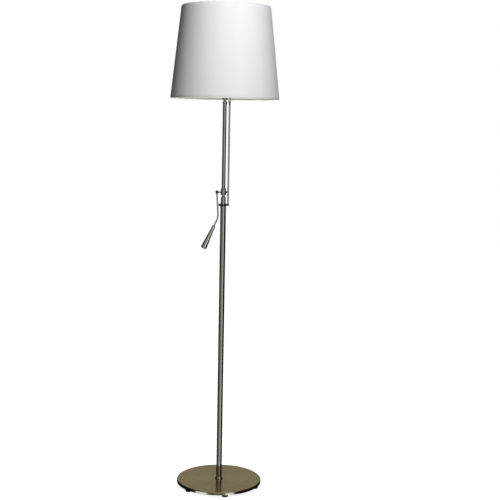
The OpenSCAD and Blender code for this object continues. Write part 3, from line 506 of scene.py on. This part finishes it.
class Wall:
    """The shade's cone: s runs up its slope from the bottom edge, d inward from its outside."""

    def __init__(self):
        self.foot = Vector((SHADE_HIGH.x, SHADE_LOW.z))
        wire_r = (RING_HIGH.z - RING_LOW.z) / 2
        top = Vector((SPIDER_HIGH.x - wire_r, SPIDER_HIGH.z - wire_r))
        low = Vector((RING_HIGH.x - wire_r, RING_LOW.z + wire_r))
        self.up = (top - low).normalized()
        self.out = Vector((self.up.y, -self.up.x))
        self.length = (SHADE_HIGH.z - SHADE_LOW.z) / self.up.y
        self.wire_r = wire_r
        self.wire_s = (low - self.foot).dot(self.up)
        self.wire_d = -(low - self.foot).dot(self.out)

    def place(self, s, d):
        """(radius, height) of a point of the wall."""
        return self.foot + self.up * s - self.out * d

    def swell(self, s, turn, amount):
        """How far the wall stands out: faint uneven tension, none at the wires."""
        held = 30 * MM
        free = smooth_step(s / held) * smooth_step((self.length - s) / held)
        wave = (0.5 * math.sin(5 * turn + 0.7 + 2.0 * s / self.length)
                + 0.3 * math.sin(11 * turn + 1.9 - 3.0 * s / self.length)
                + 0.2 * math.sin(23 * turn + 0.4 + 5.0 * s / self.length))
        return amount * free * wave


def cloth_line(wall, settings):
    """The cloth's middle line as (s, d): round the lower wire, up the wall, round the upper one."""
    half = settings.thickness / 2
    inside = settings.liner_gap + settings.liner_thickness + settings.thickness
    glued = inside + half + 0.02 * MM
    round_wire = wall.wire_r + 0.05 * MM + half
    wrap_start, wrap, wrap_steps = 35, 250, 16
    turn_in = [(settings.turn_in, glued), (9 * MM, glued), (7.2 * MM, glued + 0.05 * MM),
               (5.8 * MM, glued + 0.5 * MM)]
    circle = []
    for i in range(wrap_steps + 1):
        angle = math.radians(wrap_start + wrap * i / wrap_steps)
        circle.append((wall.wire_s + round_wire * math.cos(angle),
                       wall.wire_d + round_wire * math.sin(angle)))
    flat_from, rows = 7.5 * MM, 26
    flat = wall.length - 2 * flat_from
    onto_wall = [(4.0 * MM, 0.75 * MM), (5.5 * MM, half + 0.12 * MM), (flat_from, half)]
    lower = turn_in + circle + onto_wall
    plain = [(flat_from + flat * i / rows, half) for i in range(1, rows)]
    upper = [(wall.length - s, d) for s, d in reversed(lower)]
    return lower + plain + upper


def thickened(line, thickness):
    """The two sides of a strip along a line: the one that shows, and the one that is hidden."""
    seen, hidden = [], []
    for i, at in enumerate(line):
        before, after = line[max(0, i - 1)], line[min(len(line) - 1, i + 1)]
        along = (Vector(after) - Vector(before)).normalized()
        normal = Vector((along.y, -along.x)) * (thickness / 2)
        seen.append(Vector(at) + normal)
        hidden.append(Vector(at) - normal)
    return seen, hidden


def seam_rise(turn, settings, radius):
    """The lap of the cloth at the back: a step, the double width, then a slope down."""
    along = (turn - math.pi / 2) * radius
    if along < 0 or along > 2 * settings.lap:
        return 0.0
    step, pressed = 0.3 * MM, 0.85
    rise = min(1.0, along / step) * (1 - smooth_step((along - settings.lap) / settings.lap))
    return settings.thickness * pressed * rise


def shade_turns(settings, radius):
    """The angles of the shade's rows: even all round, closer at the seam."""
    even = [math.tau * i / settings.steps for i in range(settings.steps)]
    across_seam = (-0.4, -0.05, 0.15, 0.35, 1.2, 4, 8, 12, 16, 20.5)
    at_seam = [math.pi / 2 + (x * MM) / radius for x in across_seam]
    clear = 0.01
    kept = [turn for turn in even if not at_seam[0] - clear < turn < at_seam[-1] + clear]
    return sorted(kept + at_seam)


def make_cloth(wall, settings):
    """The cloth, with its turned-in edges round both wires and its lapped seam at the back."""
    line = cloth_line(wall, settings)
    seen, hidden = thickened(line, settings.thickness)
    outline = hidden + seen[::-1]
    radius = wall.place(wall.length / 2, 0.0).x
    turns = shade_turns(settings, radius)
    points = []
    for turn in turns:
        for k, (s, d) in enumerate(outline):
            swell = wall.swell(s, turn, settings.swell)
            if k >= len(hidden):
                outside = smooth_step((1.5 * MM - d) / MM)
                swell += outside * seam_rise(turn, settings, radius)
            r, z = wall.place(s, d) + wall.out * swell
            points.append((r * math.cos(turn), r * math.sin(turn), z))
    faces = ring_faces(len(turns), len(outline), True)
    return add_piece("shade_cloth", points, faces, "shade_fabric_finish", 50.0)


def make_liner(wall, settings):
    """The liner against the cloth's inside. Its ends lie under the cloth's turned-in edges."""
    near = settings.thickness + settings.liner_gap
    far = near + settings.liner_thickness
    bare_share, rows = 0.62, 28
    ends = settings.turn_in * bare_share
    levels = [ends + (wall.length - 2 * ends) * i / rows for i in range(rows + 1)]
    outline = [(s, far) for s in levels] + [(s, near) for s in reversed(levels)]
    points = []
    for i in range(settings.steps):
        turn = math.tau * i / settings.steps
        for s, d in outline:
            r, z = wall.place(s, d) + wall.out * wall.swell(s, turn, settings.swell)
            points.append((r * math.cos(turn), r * math.sin(turn), z))
    faces = ring_faces(settings.steps, len(outline), True)
    return add_piece("shade_liner", points, faces, "liner_finish", 50.0)


class ShadeSettings(bpy.types.PropertyGroup):
    thickness: bpy.props.FloatProperty(
        name="Cloth thickness", description="How thick the cloth is with its glue",
        default=0.7 * MM, min=0.1 * MM, max=2 * MM, unit="LENGTH")
    turn_in: bpy.props.FloatProperty(
        name="Turn-in", description="How far the cloth comes back over the liner",
        default=13 * MM, min=9 * MM, max=30 * MM, unit="LENGTH")
    liner_thickness: bpy.props.FloatProperty(
        name="Liner thickness", description="The stiff plastic sheet inside the cloth",
        default=0.86 * MM, min=0.3 * MM, max=1.5 * MM, unit="LENGTH")
    liner_gap: bpy.props.FloatProperty(
        name="Liner gap", description="The glue between cloth and liner",
        default=0.02 * MM, min=0.01 * MM, max=0.2 * MM, unit="LENGTH")
    lap: bpy.props.FloatProperty(
        name="Seam lap", description="The double width where the cloth's ends overlap",
        default=10 * MM, min=4 * MM, max=25 * MM, unit="LENGTH")
    swell: bpy.props.FloatProperty(
        name="Swell", description="How far the wall stands out where its tension is uneven",
        default=0.14 * MM, min=0.0, max=1 * MM, unit="LENGTH")
    steps: bpy.props.IntProperty(
        name="Steps", description="Rows of the mesh round the shade", default=192, min=48, max=512)


class LAMP_OT_shade(bpy.types.Operator):
    """Makes the shade's cloth with its turned-in edges and seam, and the stiff liner inside it"""
    bl_idname = "lamp.shade"
    bl_label = "Shade"

    def execute(self, context):
        settings = context.scene.lamp_shade
        wall = Wall()
        if wall.length <= 2 * settings.turn_in:
            raise RuntimeError("the shade is too short for its turn-ins")
        cloth, liner = make_cloth(wall, settings), make_liner(wall, settings)
        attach(cloth, "head")
        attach(liner, "head")
        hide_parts("shade_skin")
        return {"FINISHED"}


# ---- the harp's wire ----

class HarpSettings(bpy.types.PropertyGroup):
    wire: bpy.props.FloatProperty(
        name="Wire", description="Diameter of the harp's wire", default=3.2 * MM,
        min=2 * MM, max=5 * MM, unit="LENGTH")
    leg_end: bpy.props.FloatProperty(
        name="Leg end", description="Diameter of the swaged ends in the ferrules",
        default=5.1 * MM, min=3 * MM, max=8 * MM, unit="LENGTH")
    half_width: bpy.props.FloatProperty(
        name="Half width", description="From the middle to the wire where the harp is widest",
        default=64 * MM, min=40 * MM, max=90 * MM, unit="LENGTH")
    flare: bpy.props.FloatProperty(
        name="Flare", description="The turn over which the legs spread to the full width",
        default=math.radians(40), min=0.2, max=1.5, subtype="ANGLE")


def harp_bow(settings, leg, foot, top):
    """The wire's line and its radii, from one swaged end over the top and down to the other."""
    r, r_end = settings.wire / 2, settings.leg_end / 2
    straight, turns = 8 * MM, 72
    swage = [(0.0, r_end - 0.35 * MM), (0.35 * MM, r_end), (6.6 * MM, r_end),
             (7.0 * MM, r_end - 0.4 * MM), (7.25 * MM, r + 0.1 * MM), (7.5 * MM, r)]
    line = [(-leg, 0.0, foot + up) for up, _ in swage]
    for i in range(turns + 1):
        turn = math.pi * i / turns
        near = min(turn, math.pi - turn)
        half = leg + (settings.half_width - leg) * smooth_step(near / settings.flare)
        line.append((-half * math.cos(turn), 0.0,
                     foot + straight + (top - foot - straight) * math.sin(turn)))
    line += [(leg, 0.0, foot + up) for up, _ in reversed(swage)]
    end_radii = [radius for _, radius in swage]
    return line, end_radii + [r] * (turns + 1) + end_radii[::-1]


def harp_stud(start, end):
    """The closed profile of the stud, and the shape that cuts its thread."""
    stud_r, core_r, pitch, depth, levels = 3 * MM, 2.5 * MM, 0.8 * MM, 0.42 * MM, 110
    plain_end = end - 0.5 * MM

    def thread(radius, height, turn):
        share = (height / pitch - turn / math.tau) % 1.0
        fade = smooth_step((end - height) / (1.5 * MM))
        return radius - depth * abs(2 * share - 1) * fade if radius > core_r else radius

    profile = [(0.0, start)]
    profile += [(stud_r, start + (plain_end - start) * i / levels) for i in range(levels + 1)]
    profile += [(2.4 * MM, end), (0.0, end)]
    return profile, thread


class LAMP_OT_harp(bpy.types.Operator):
    """Bends the harp's wire, with its swaged ends, boss and threaded stud"""
    bl_idname = "lamp.harp"
    bl_label = "Harp"

    def execute(self, context):
        settings = context.scene.lamp_harp
        low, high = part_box("harp_bow")
        ferrule_low, ferrule_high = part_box("harp_ferrules")
        leg = ferrule_high.x - (ferrule_high.y - ferrule_low.y) / 2
        stud_long, boss_r, boss_half = 17 * MM, 6 * MM, 2 * MM
        top = high.z - stud_long
        line, radii = harp_bow(settings, leg, low.z, top)
        points, faces = sweep(line, radii, 24)
        boss = rounded([(0.0, top - boss_half), (boss_r, top - boss_half),
                        (boss_r, top + boss_half), (0.0, top + boss_half)], 0.5 * MM)
        stud, thread = harp_stud(top + 0.5 * MM, top + stud_long)
        for profile, sides, shape in ((boss, 48, None), (stud, 40, thread)):
            more, more_faces = lathe(profile, sides, shape, start=len(points))
            points += more
            faces += more_faces
        piece = add_piece("harp_wire", points, faces, "polished_nickel_finish", 40.0)
        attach(piece, "head")
        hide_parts("harp_bow")
        return {"FINISHED"}


# ---- the handle's rod ----

class HandleSettings(bpy.types.PropertyGroup):
    rod: bpy.props.FloatProperty(
        name="Rod", description="Diameter of the handle's bent rod", default=5.5 * MM,
        min=3 * MM, max=9 * MM, unit="LENGTH")
    bend_radius: bpy.props.FloatProperty(
        name="Bend", description="Radius of the rod's bend at its middle", default=30 * MM,
        min=8 * MM, max=80 * MM, unit="LENGTH")
    upper_lean: bpy.props.FloatProperty(
        name="Upper lean", description="Lean of the rod's upper end from upright",
        default=math.radians(-3.3), subtype="ANGLE")
    lower_lean: bpy.props.FloatProperty(
        name="Lower lean", description="Lean of the rod's lower end from upright",
        default=math.radians(24.4), subtype="ANGLE")


def down_rod(lean):
    """The way down a rod that leans from upright by an angle."""
    return Vector((-math.sin(lean), 0.0, -math.cos(lean)))


def right_of_rod(lean):
    return Vector((math.cos(lean), 0.0, -math.sin(lean)))


def handle_line(settings, chamfer):
    """The rod's middle line: its upper end in the clamp, the bend and its lower end in the grip."""
    upper, lower, radius = settings.upper_lean, settings.lower_lean, settings.bend_radius
    clamp = Vector((-21.3 * MM, 0.0, 997 * MM))
    above_clamp, upper_long, lower_long = 4.85 * MM, 84 * MM, 51.8 * MM
    corner = clamp + down_rod(upper) * upper_long
    cut = radius * math.tan((lower - upper) / 2)
    centre = corner - down_rod(upper) * cut - right_of_rod(upper) * radius
    first = clamp - down_rod(upper) * above_clamp
    last = corner + down_rod(lower) * lower_long
    arc = [centre + right_of_rod(upper + (lower - upper) * i / 24) * radius for i in range(25)]
    first_full, last_full = first + down_rod(upper) * chamfer, last - down_rod(lower) * chamfer
    above = [first_full.lerp(arc[0], i / 12) for i in range(12)]
    below = [arc[-1].lerp(last_full, i / 8) for i in range(1, 9)]
    return [first, *above, *arc, *below, last]


class LAMP_OT_handle(bpy.types.Operator):
    """Bends the rod of the handle, from its clamp block to its grip"""
    bl_idname = "lamp.handle"
    bl_label = "Handle rod"

    def execute(self, context):
        settings = context.scene.lamp_handle
        r, chamfer = settings.rod / 2, 0.5 * MM
        line = handle_line(settings, chamfer)
        radii = [r - chamfer] + [r] * (len(line) - 2) + [r - chamfer]
        points, faces = sweep(line, radii, 32)
        piece = add_piece("handle_bent_rod", points, faces, "polished_nickel_finish", 40.0)
        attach(piece, "arm")
        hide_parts("handle_rod")
        return {"FINISHED"}


# ---- the bulb ----

class BulbSettings(bpy.types.PropertyGroup):
    glass: bpy.props.FloatProperty(
        name="Glass", description="Thickness of the bulb's glass", default=0.8 * MM,
        min=0.3 * MM, max=2 * MM, unit="LENGTH")
    slope: bpy.props.FloatProperty(
        name="Shoulder", description="Slope of the shoulder below the globe",
        default=math.radians(25), subtype="ANGLE")
    pitch: bpy.props.FloatProperty(
        name="Thread pitch", description="Rise of the cap's thread in one turn",
        default=3.62 * MM, min=1 * MM, max=6 * MM, unit="LENGTH")
    depth: bpy.props.FloatProperty(
        name="Thread depth", description="Depth of the cap's rolled thread",
        default=0.85 * MM, min=0.2 * MM, max=1.5 * MM, unit="LENGTH")
    steps: bpy.props.IntProperty(
        name="Steps", description="Rows of the mesh round the bulb", default=96, min=32, max=256)


def glass_outline(settings, low, high):
    """The outside of the glass as (radius, height): its neck, shoulder and globe up to the top."""
    globe, neck, neck_curve, slope = (high.x - low.x) / 2, 12.2 * MM, 9 * MM, settings.slope
    middle = high.z - globe
    edge = Vector((globe * math.cos(slope), middle - globe * math.sin(slope)))
    up_slope = Vector((math.sin(slope), math.cos(slope)))
    crease = Vector((neck, edge.y - (edge.x - neck) / up_slope.x * up_slope.y))
    lower, upper = Vector((neck, crease.y - neck_curve)), crease + up_slope * neck_curve
    outline = [(neck, low.z), (neck, (low.z + lower.y) / 2)]
    outline += bend(lower, crease, upper, 12)
    outline += [tuple(upper.lerp(edge, i / 6)) for i in range(1, 6)]
    first, steps = math.atan2(edge.y - middle, edge.x), 32
    for i in range(steps):
        angle = first + (math.pi / 2 - first) * i / steps
        outline.append((globe * math.cos(angle), middle + globe * math.sin(angle)))
    return outline + [(0.0, high.z)]


def inset(outline, depth):
    """The outline moved inward by a depth. It ends on the axis, as the outline does."""
    moved = []
    for i, at in enumerate(outline[:-1]):
        before, after = outline[max(0, i - 1)], outline[i + 1]
        along = (Vector(after) - Vector(before)).normalized()
        inside = Vector(at) - Vector((along.y, -along.x)) * depth
        moved.append((inside.x, inside.y))
    return moved + [(0.0, outline[-1][1] - depth)]


def cap_profile(settings, low, high):
    """The closed profile of the threaded cap, and the shape that rolls its thread."""
    r, wall, levels = high.x, 0.6 * MM, 60
    floor, rim = low.z + 1.5 * MM, high.z - 0.6 * MM
    thread_low, thread_high = low.z + 3.2 * MM, high.z - 7.4 * MM
    rows = [thread_low + (thread_high - thread_low) * i / levels for i in range(1, levels + 1)]

    def thread(radius, height, turn):
        fade = smooth_step((height - thread_low) / (1.4 * MM)) \
            * smooth_step((thread_high - height) / (1.4 * MM))
        wave = 0.5 - 0.5 * math.cos(math.tau * (height / settings.pitch - turn / math.tau))
        return radius - settings.depth * wave * fade

    outer = [(6 * MM, low.z), (r - 1.2 * MM, low.z + 2.6 * MM), (r - 0.3 * MM, thread_low)]
    outer += [(r, height) for height in rows]
    outer += [(r - 0.15 * MM, thread_high + 1.2 * MM), (r - 0.15 * MM, rim),
              (r, high.z - 0.25 * MM), (r - 0.1 * MM, high.z)]
    inner = [(radius - wall, max(height, floor)) for radius, height in reversed(outer[2:])]
    return [(0.0, low.z), *outer, *inner, (0.0, floor)], thread


class LAMP_OT_bulb(bpy.types.Operator):
    """Blows the bulb's opal glass and rolls the threaded cap under it"""
    bl_idname = "lamp.bulb"
    bl_label = "Bulb"

    def execute(self, context):
        settings = context.scene.lamp_bulb
        outer = glass_outline(settings, *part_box("bulb_glass"))
        inner = inset(outer, settings.glass)
        points, faces = lathe(outer + inner[::-1], settings.steps)
        glass = add_piece("bulb_globe", points, faces, "opal_glass_finish")
        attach(glass, "head")
        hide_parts("bulb_glass")
        profile, thread = cap_profile(settings, *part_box("bulb_screw_cap"))
        points, faces = lathe(profile, settings.steps, thread)
        cap = add_piece("bulb_cap", points, faces, "zinc_steel_finish", 40.0)
        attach(cap, "head")
        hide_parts("bulb_screw_cap")
        return {"FINISHED"}


# ---- the feet ----

class FeetSettings(bpy.types.PropertyGroup):
    edge: bpy.props.FloatProperty(
        name="Edge", description="Rounding of the moulded edges", default=1.0 * MM,
        min=0.1 * MM, max=3 * MM, unit="LENGTH")
    ring: bpy.props.FloatProperty(
        name="Ring", description="From the post's axis to the middle of a foot",
        default=130 * MM, min=20 * MM, max=400 * MM, unit="LENGTH")
    turn: bpy.props.FloatProperty(
        name="Turn", description="Where the first foot lies round the post",
        default=math.radians(-80.7), subtype="ANGLE")
    count: bpy.props.IntProperty(
        name="Count", description="How many feet there are", default=6, min=3, max=12)


class LAMP_OT_feet(bpy.types.Operator):
    """Moulds the rubber feet, each with the recess and hole of its screw"""
    bl_idname = "lamp.feet"
    bl_label = "Feet"

    def execute(self, context):
        settings = context.scene.lamp_feet
        low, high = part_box("rubber_feet")
        foot_r, top_r, recess_r, hole_r = 10 * MM, 11 * MM, 4.6 * MM, 2.1 * MM
        recess = low.z + 4 * MM
        foot = rounded([(recess_r, low.z), (foot_r, low.z), (top_r, high.z), (hole_r, high.z),
                        (hole_r, recess), (recess_r, recess)], settings.edge)
        points, faces = [], []
        for i in range(settings.count):
            angle = settings.turn + math.tau * i / settings.count
            more, more_faces = lathe(foot, 48, start=len(points))
            shift = Vector((math.cos(angle), math.sin(angle), 0.0)) * settings.ring
            points += [tuple(Vector(p) + shift) for p in more]
            faces += more_faces
        piece = add_piece("moulded_feet", points, faces, "rubber_finish")
        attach(piece, "post")
        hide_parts("rubber_feet")
        return {"FINISHED"}


# ---- finishes and studio ----

class FinishSettings(bpy.types.PropertyGroup):
    base_colour: bpy.props.FloatVectorProperty(
        name="Base", description="Colour of the brushed base", subtype="COLOR",
        default=(0.40, 0.335, 0.20))
    satin_colour: bpy.props.FloatVectorProperty(
        name="Satin metal", description="Colour of the satin plated tubes and fittings",
        subtype="COLOR", default=(0.50, 0.455, 0.39))
    polished_colour: bpy.props.FloatVectorProperty(
        name="Polished metal", description="Colour of the polished plated pieces",
        subtype="COLOR", default=(0.68, 0.66, 0.63))
    cloth_colour: bpy.props.FloatVectorProperty(
        name="Cloth", description="Colour of the shade's cloth", subtype="COLOR",
        default=(0.86, 0.86, 0.85))
    liner_colour: bpy.props.FloatVectorProperty(
        name="Liner", description="Colour of the shade's plastic liner", subtype="COLOR",
        default=(0.80, 0.81, 0.78))
    weave_pitch: bpy.props.FloatProperty(
        name="Weave", description="From one thread of the cloth to the next",
        default=0.75 * MM, min=0.2 * MM, max=3 * MM, unit="LENGTH")


class LAMP_OT_finishes(bpy.types.Operator):
    """Makes the finishes and gives every piece of the frame the one of its slot"""
    bl_idname = "lamp.finishes"
    bl_label = "Finishes"

    def execute(self, context):
        made = make_finishes(context.scene.lamp_finishes)
        for node, piece in frame["nodes"].items():
            slot = piece.material_slots[0].material.name
            if slot not in made:
                raise RuntimeError(f"{node} has the slot {slot}, which has no finish")
            piece.material_slots[0].material = made[slot]
        return {"FINISHED"}


class StudioSettings(bpy.types.PropertyGroup):
    at: bpy.props.FloatVectorProperty(
        name="Camera", description="Where the camera stands", subtype="TRANSLATION",
        unit="LENGTH", default=(0.0, -3.3969, 1.2105))
    yaw: bpy.props.FloatProperty(
        name="Yaw", description="Turn of the camera to the right", subtype="ANGLE",
        default=math.radians(1.546))
    pitch: bpy.props.FloatProperty(
        name="Pitch", description="How far the camera looks up", subtype="ANGLE",
        default=math.radians(-6.799))
    roll: bpy.props.FloatProperty(
        name="Roll", description="Turn of the camera about its own line", subtype="ANGLE",
        default=math.radians(1.102))
    lens: bpy.props.FloatProperty(
        name="Lens", description="Focal length in millimetres on a 36 mm sensor", default=73.88)
    key: bpy.props.FloatProperty(
        name="Key", description="Brightness of the softbox at the upper front right", default=21.6)
    fill: bpy.props.FloatProperty(
        name="Fill", description="Brightness of the low panel at the front left", default=1.3)
    top_card: bpy.props.FloatProperty(
        name="Top card", description="Brightness of the reflection card overhead", default=1.1)
    back_light: bpy.props.FloatProperty(
        name="Back light", description="Brightness of the panel that lights the back of the shade",
        default=4.0)
    under: bpy.props.FloatProperty(
        name="Under", description="Brightness of the small panel below the shade's mouth",
        default=10.0)
    left_card: bpy.props.FloatProperty(
        name="Left card", description="Brightness of the wide card at the front left", default=0.28)
    front_card: bpy.props.FloatProperty(
        name="Front card", description="Brightness of the cards at the front and at the rear",
        default=0.42)
    right_card: bpy.props.FloatProperty(
        name="Right card", description="Brightness of the narrow card at the front right", default=1.15)
    rim_cards: bpy.props.FloatProperty(
        name="Rim cards", description="Brightness of the two small cards before the base's rim",
        default=3.5)
    back: bpy.props.FloatProperty(
        name="Back card", description="Brightness of the high card behind the lamp", default=0.64)
    top: bpy.props.FloatProperty(
        name="Top", description="Brightness of the panel overhead", default=0.4)
    floor_glow: bpy.props.FloatProperty(
        name="Floor", description="How brightly the floor glows near the lamp",
        default=0.85)


def glowing(name, glow, soft_edge, colour):
    """A black panel's finish: the brightness and colour of its glow, which fades to its edges."""
    finish = Finish(name)
    across, along = finish.parts(finish.node("ShaderNodeTexCoord", out="Generated"))[:2]
    inside = ((0.5 - (across - 0.5).size()).between(0.0, soft_edge)
              * (0.5 - (along - 0.5).size()).between(0.0, soft_edge))
    return finish.surface(
        Base_Color=grey(0.0), Roughness=0.9, Specular_IOR_Level=0.0, Emission_Strength=glow,
        Emission_Color=finish.blend(inside, grey(0.0), tint(colour, 1.0)))


def stage_piece(name, points, faces, finish):
    """A mesh of the studio, which isn't part of the lamp."""
    mesh = bpy.data.meshes.new(name)
    mesh.from_pydata(points, [], faces)
    mesh.materials.append(finish)
    made = bpy.data.objects.new(name, mesh)
    bpy.context.scene.collection.objects.link(made)
    return made


def panel(name, centre, target, width, height, glow, soft_edge=0.12, colour=(1.0, 1.0, 1.0)):
    """A glowing panel that faces the target, unseen by the camera."""
    w, h = width / 2, height / 2
    corners = [(-w, -h, 0), (w, -h, 0), (w, h, 0), (-w, h, 0)]
    finish = glowing(name + "_glow", glow, soft_edge, colour)
    made = stage_piece(name, corners, [(0, 1, 2, 3)], finish)
    facing = (Vector(target) - Vector(centre)).to_track_quat("Z", "Y")
    made.matrix_world = Matrix.LocRotScale(Vector(centre), facing, None)
    made.visible_camera = made.visible_shadow = False
    return made


def around(azimuth, distance, height):
    """A point at an azimuth in degrees to the right of the camera's side of the lamp."""
    turn = math.radians(azimuth)
    return (distance * math.sin(turn), -distance * math.cos(turn), height)


class LAMP_OT_studio(bpy.types.Operator):
    """Sets up the pale floor, the white surround, the soft light and the camera"""
    bl_idname = "lamp.studio"
    bl_label = "Studio"

    def execute(self, context):
        settings = context.scene.lamp_studio
        self.surround(settings)
        self.light(settings)
        self.camera(context.scene, settings)
        context.scene.view_settings.view_transform = "Standard"
        return {"FINISHED"}

    def surround(self, settings):
        """The floor, and the white dome round it that only the camera sees."""
        rings, sides = (30.0, 12.0, 4.0, 1.6, 0.8, 0.4, 0.2), 64
        turns = [math.tau * k / sides for k in range(sides)]
        points = [(r * math.cos(turn), r * math.sin(turn), 0.0) for r in rings for turn in turns]
        middle = tuple(range(len(points) - sides, len(points)))
        faces = [*ring_faces(len(rings), sides, False), middle]
        floor = stage_piece("floor", points, faces, self.floor_finish(settings))
        floor.visible_glossy = floor.visible_diffuse = False
        radius, below, levels = 35, 20.0, 24
        dome_profile = [(0.0, -below)]
        for i in range(1, levels):
            rise = math.pi * i / levels
            dome_profile.append((radius * math.sin(rise), -radius * math.cos(rise)))
        points, faces = lathe([*dome_profile, (0.0, radius)], 48)
        dome = stage_piece("dome", points, faces, self.dome_finish())
        for ray in ("diffuse", "glossy", "transmission", "volume_scatter", "shadow"):
            setattr(dome, "visible_" + ray, False)

    def dome_finish(self):
        finish = Finish("dome_glow")
        mottle = finish.noise(finish.point(), 0.05, 2.0)
        return finish.surface(
            Base_Color=grey(0.0), Specular_IOR_Level=0.0, Emission_Strength=1.0,
            Emission_Color=finish.blend(mottle, grey(0.995), grey(1.0)))

    def floor_finish(self, settings):
        finish = Finish("floor_paint")
        x, y, _ = finish.parts(finish.point())
        far = (x * x + y * y).power(0.5).between(0.5, 3.5)
        grain = finish.noise(finish.point(), 260.0, 4.0)
        return finish.surface(
            Base_Color=finish.blend(grain, grey(0.8), grey(0.82)), Roughness=0.85,
            Specular_IOR_Level=0.1, Emission_Strength=1.0,
            Emission_Color=finish.blend(far, grey(settings.floor_glow), grey(1.0)),
            Normal=finish.bump(grain, 0.1 * MM, 0.2))

    def light(self, settings):
        """Panels that light the lamp, and cards that only its metal reflects."""
        panels = [
            panel("key_panel", around(18, 1.4, 2.1), (0, 0, 1.55), 0.6, 0.7, settings.key,
                  colour=(0.95, 0.955, 1.0)),
            panel("fill_panel", around(-22, 1.5, 0.3), (0, 0, 1.4), 1.6, 0.9, settings.fill,
                  colour=(1.0, 0.98, 0.72)),
            panel("under_panel", (0, 0, 0.95), (0, 0, 1.4), 0.32, 0.32, settings.under),
            panel("back_light", around(176, 2.3, 1.5), (0, 0, 1.3), 1.3, 1.3, settings.back_light),
            panel("top_light", (0.2, -0.2, 3.4), (0, 0, 0), 3.0, 3.0, settings.top)]
        for made in panels:
            made.visible_glossy = False
        low, high, narrow_edge = -1.5, 2.6, 0.06
        middle = (low + high) / 2
        cards = [
            panel(name, around(azimuth, distance, middle), (0, 0, middle), width, high - low,
                  glow, narrow_edge)
            for name, azimuth, distance, width, glow in (
                ("left_card", -38, 2.8, 2.5, settings.left_card),
                ("front_card", 5, 2.9, 2.0, settings.front_card),
                ("right_card", 28, 2.8, 1.1, settings.right_card),
                ("rear_card", 180, 2.9, 1.9, settings.front_card))]
        cards += [
            panel("back_card", (0.0, 3.6, 1.9), (0, 0, 0.6), 2.6, 1.8, settings.back),
            panel("top_card", (0.2, -0.2, 3.3), (0, 0, 0.6), 3.4, 3.4, settings.top_card)]
        rim_distance, rim_height = 0.3, -0.09
        cards += [
            panel(name, around(azimuth, rim_distance, rim_height), (0, 0, rim_height), width, 0.12,
                  settings.rim_cards, colour=(0.66, 0.75, 1.0))
            for name, azimuth, width in (("rim_left", -37.5, 0.155), ("rim_right", 23.7, 0.108))]
        for made in cards:
            made.visible_diffuse = False
        world = bpy.data.worlds.new("studio_dark")
        world.use_nodes = True
        world.node_tree.nodes["Background"].inputs["Color"].default_value = grey(0.015)
        bpy.context.scene.world = world

    def camera(self, scene, settings):
        yaw, pitch, roll = settings.yaw, settings.pitch, settings.roll
        forward = Vector((math.sin(yaw) * math.cos(pitch), math.cos(yaw) * math.cos(pitch),
                          math.sin(pitch)))
        level = Vector((math.cos(yaw), -math.sin(yaw), 0.0))
        upright = level.cross(forward)
        right = level * math.cos(roll) + upright * math.sin(roll)
        up = upright * math.cos(roll) - level * math.sin(roll)
        lens = bpy.data.cameras.new("camera")
        lens.lens, lens.sensor_width = settings.lens, 36.0
        camera = bpy.data.objects.new("camera", lens)
        scene.collection.objects.link(camera)
        turned = Matrix((right, up, -forward)).transposed().to_4x4()
        camera.matrix_world = Matrix.Translation(Vector(settings.at)) @ turned
        scene.camera = camera


# ---- the add-on ----

class LAMP_PT_sidebar(bpy.types.Panel):
    """The lamp's settings and the buttons that make its pieces"""
    bl_idname = "LAMP_PT_sidebar"
    bl_label = "Floor lamp"
    bl_space_type = "VIEW_3D"
    bl_region_type = "UI"
    bl_category = "Floor lamp"

    def draw(self, context):
        for name, (_, operator) in PIECES.items():
            box = self.layout.box()
            settings = getattr(context.scene, "lamp_" + name)
            for field in settings.bl_rna.properties.keys():
                if field not in ("rna_type", "name"):
                    box.prop(settings, field)
            box.operator(operator.bl_idname)


PIECES = {
    "finishes": (FinishSettings, LAMP_OT_finishes),
    "shade": (ShadeSettings, LAMP_OT_shade),
    "harp": (HarpSettings, LAMP_OT_harp),
    "handle": (HandleSettings, LAMP_OT_handle),
    "bulb": (BulbSettings, LAMP_OT_bulb),
    "feet": (FeetSettings, LAMP_OT_feet),
    "studio": (StudioSettings, LAMP_OT_studio),
}


def register():
    for name, (group, operator) in PIECES.items():
        bpy.utils.register_class(group)
        setattr(bpy.types.Scene, "lamp_" + name, bpy.props.PointerProperty(type=group))
        bpy.utils.register_class(operator)
    bpy.utils.register_class(LAMP_PT_sidebar)


def unregister():
    bpy.utils.unregister_class(LAMP_PT_sidebar)
    for name, (group, operator) in reversed(PIECES.items()):
        bpy.utils.unregister_class(operator)
        delattr(bpy.types.Scene, "lamp_" + name)
        bpy.utils.unregister_class(group)


def main():
    register()
    for name in PIECES:
        getattr(bpy.ops.lamp, name)()


if __name__ == "__main__":
    main()
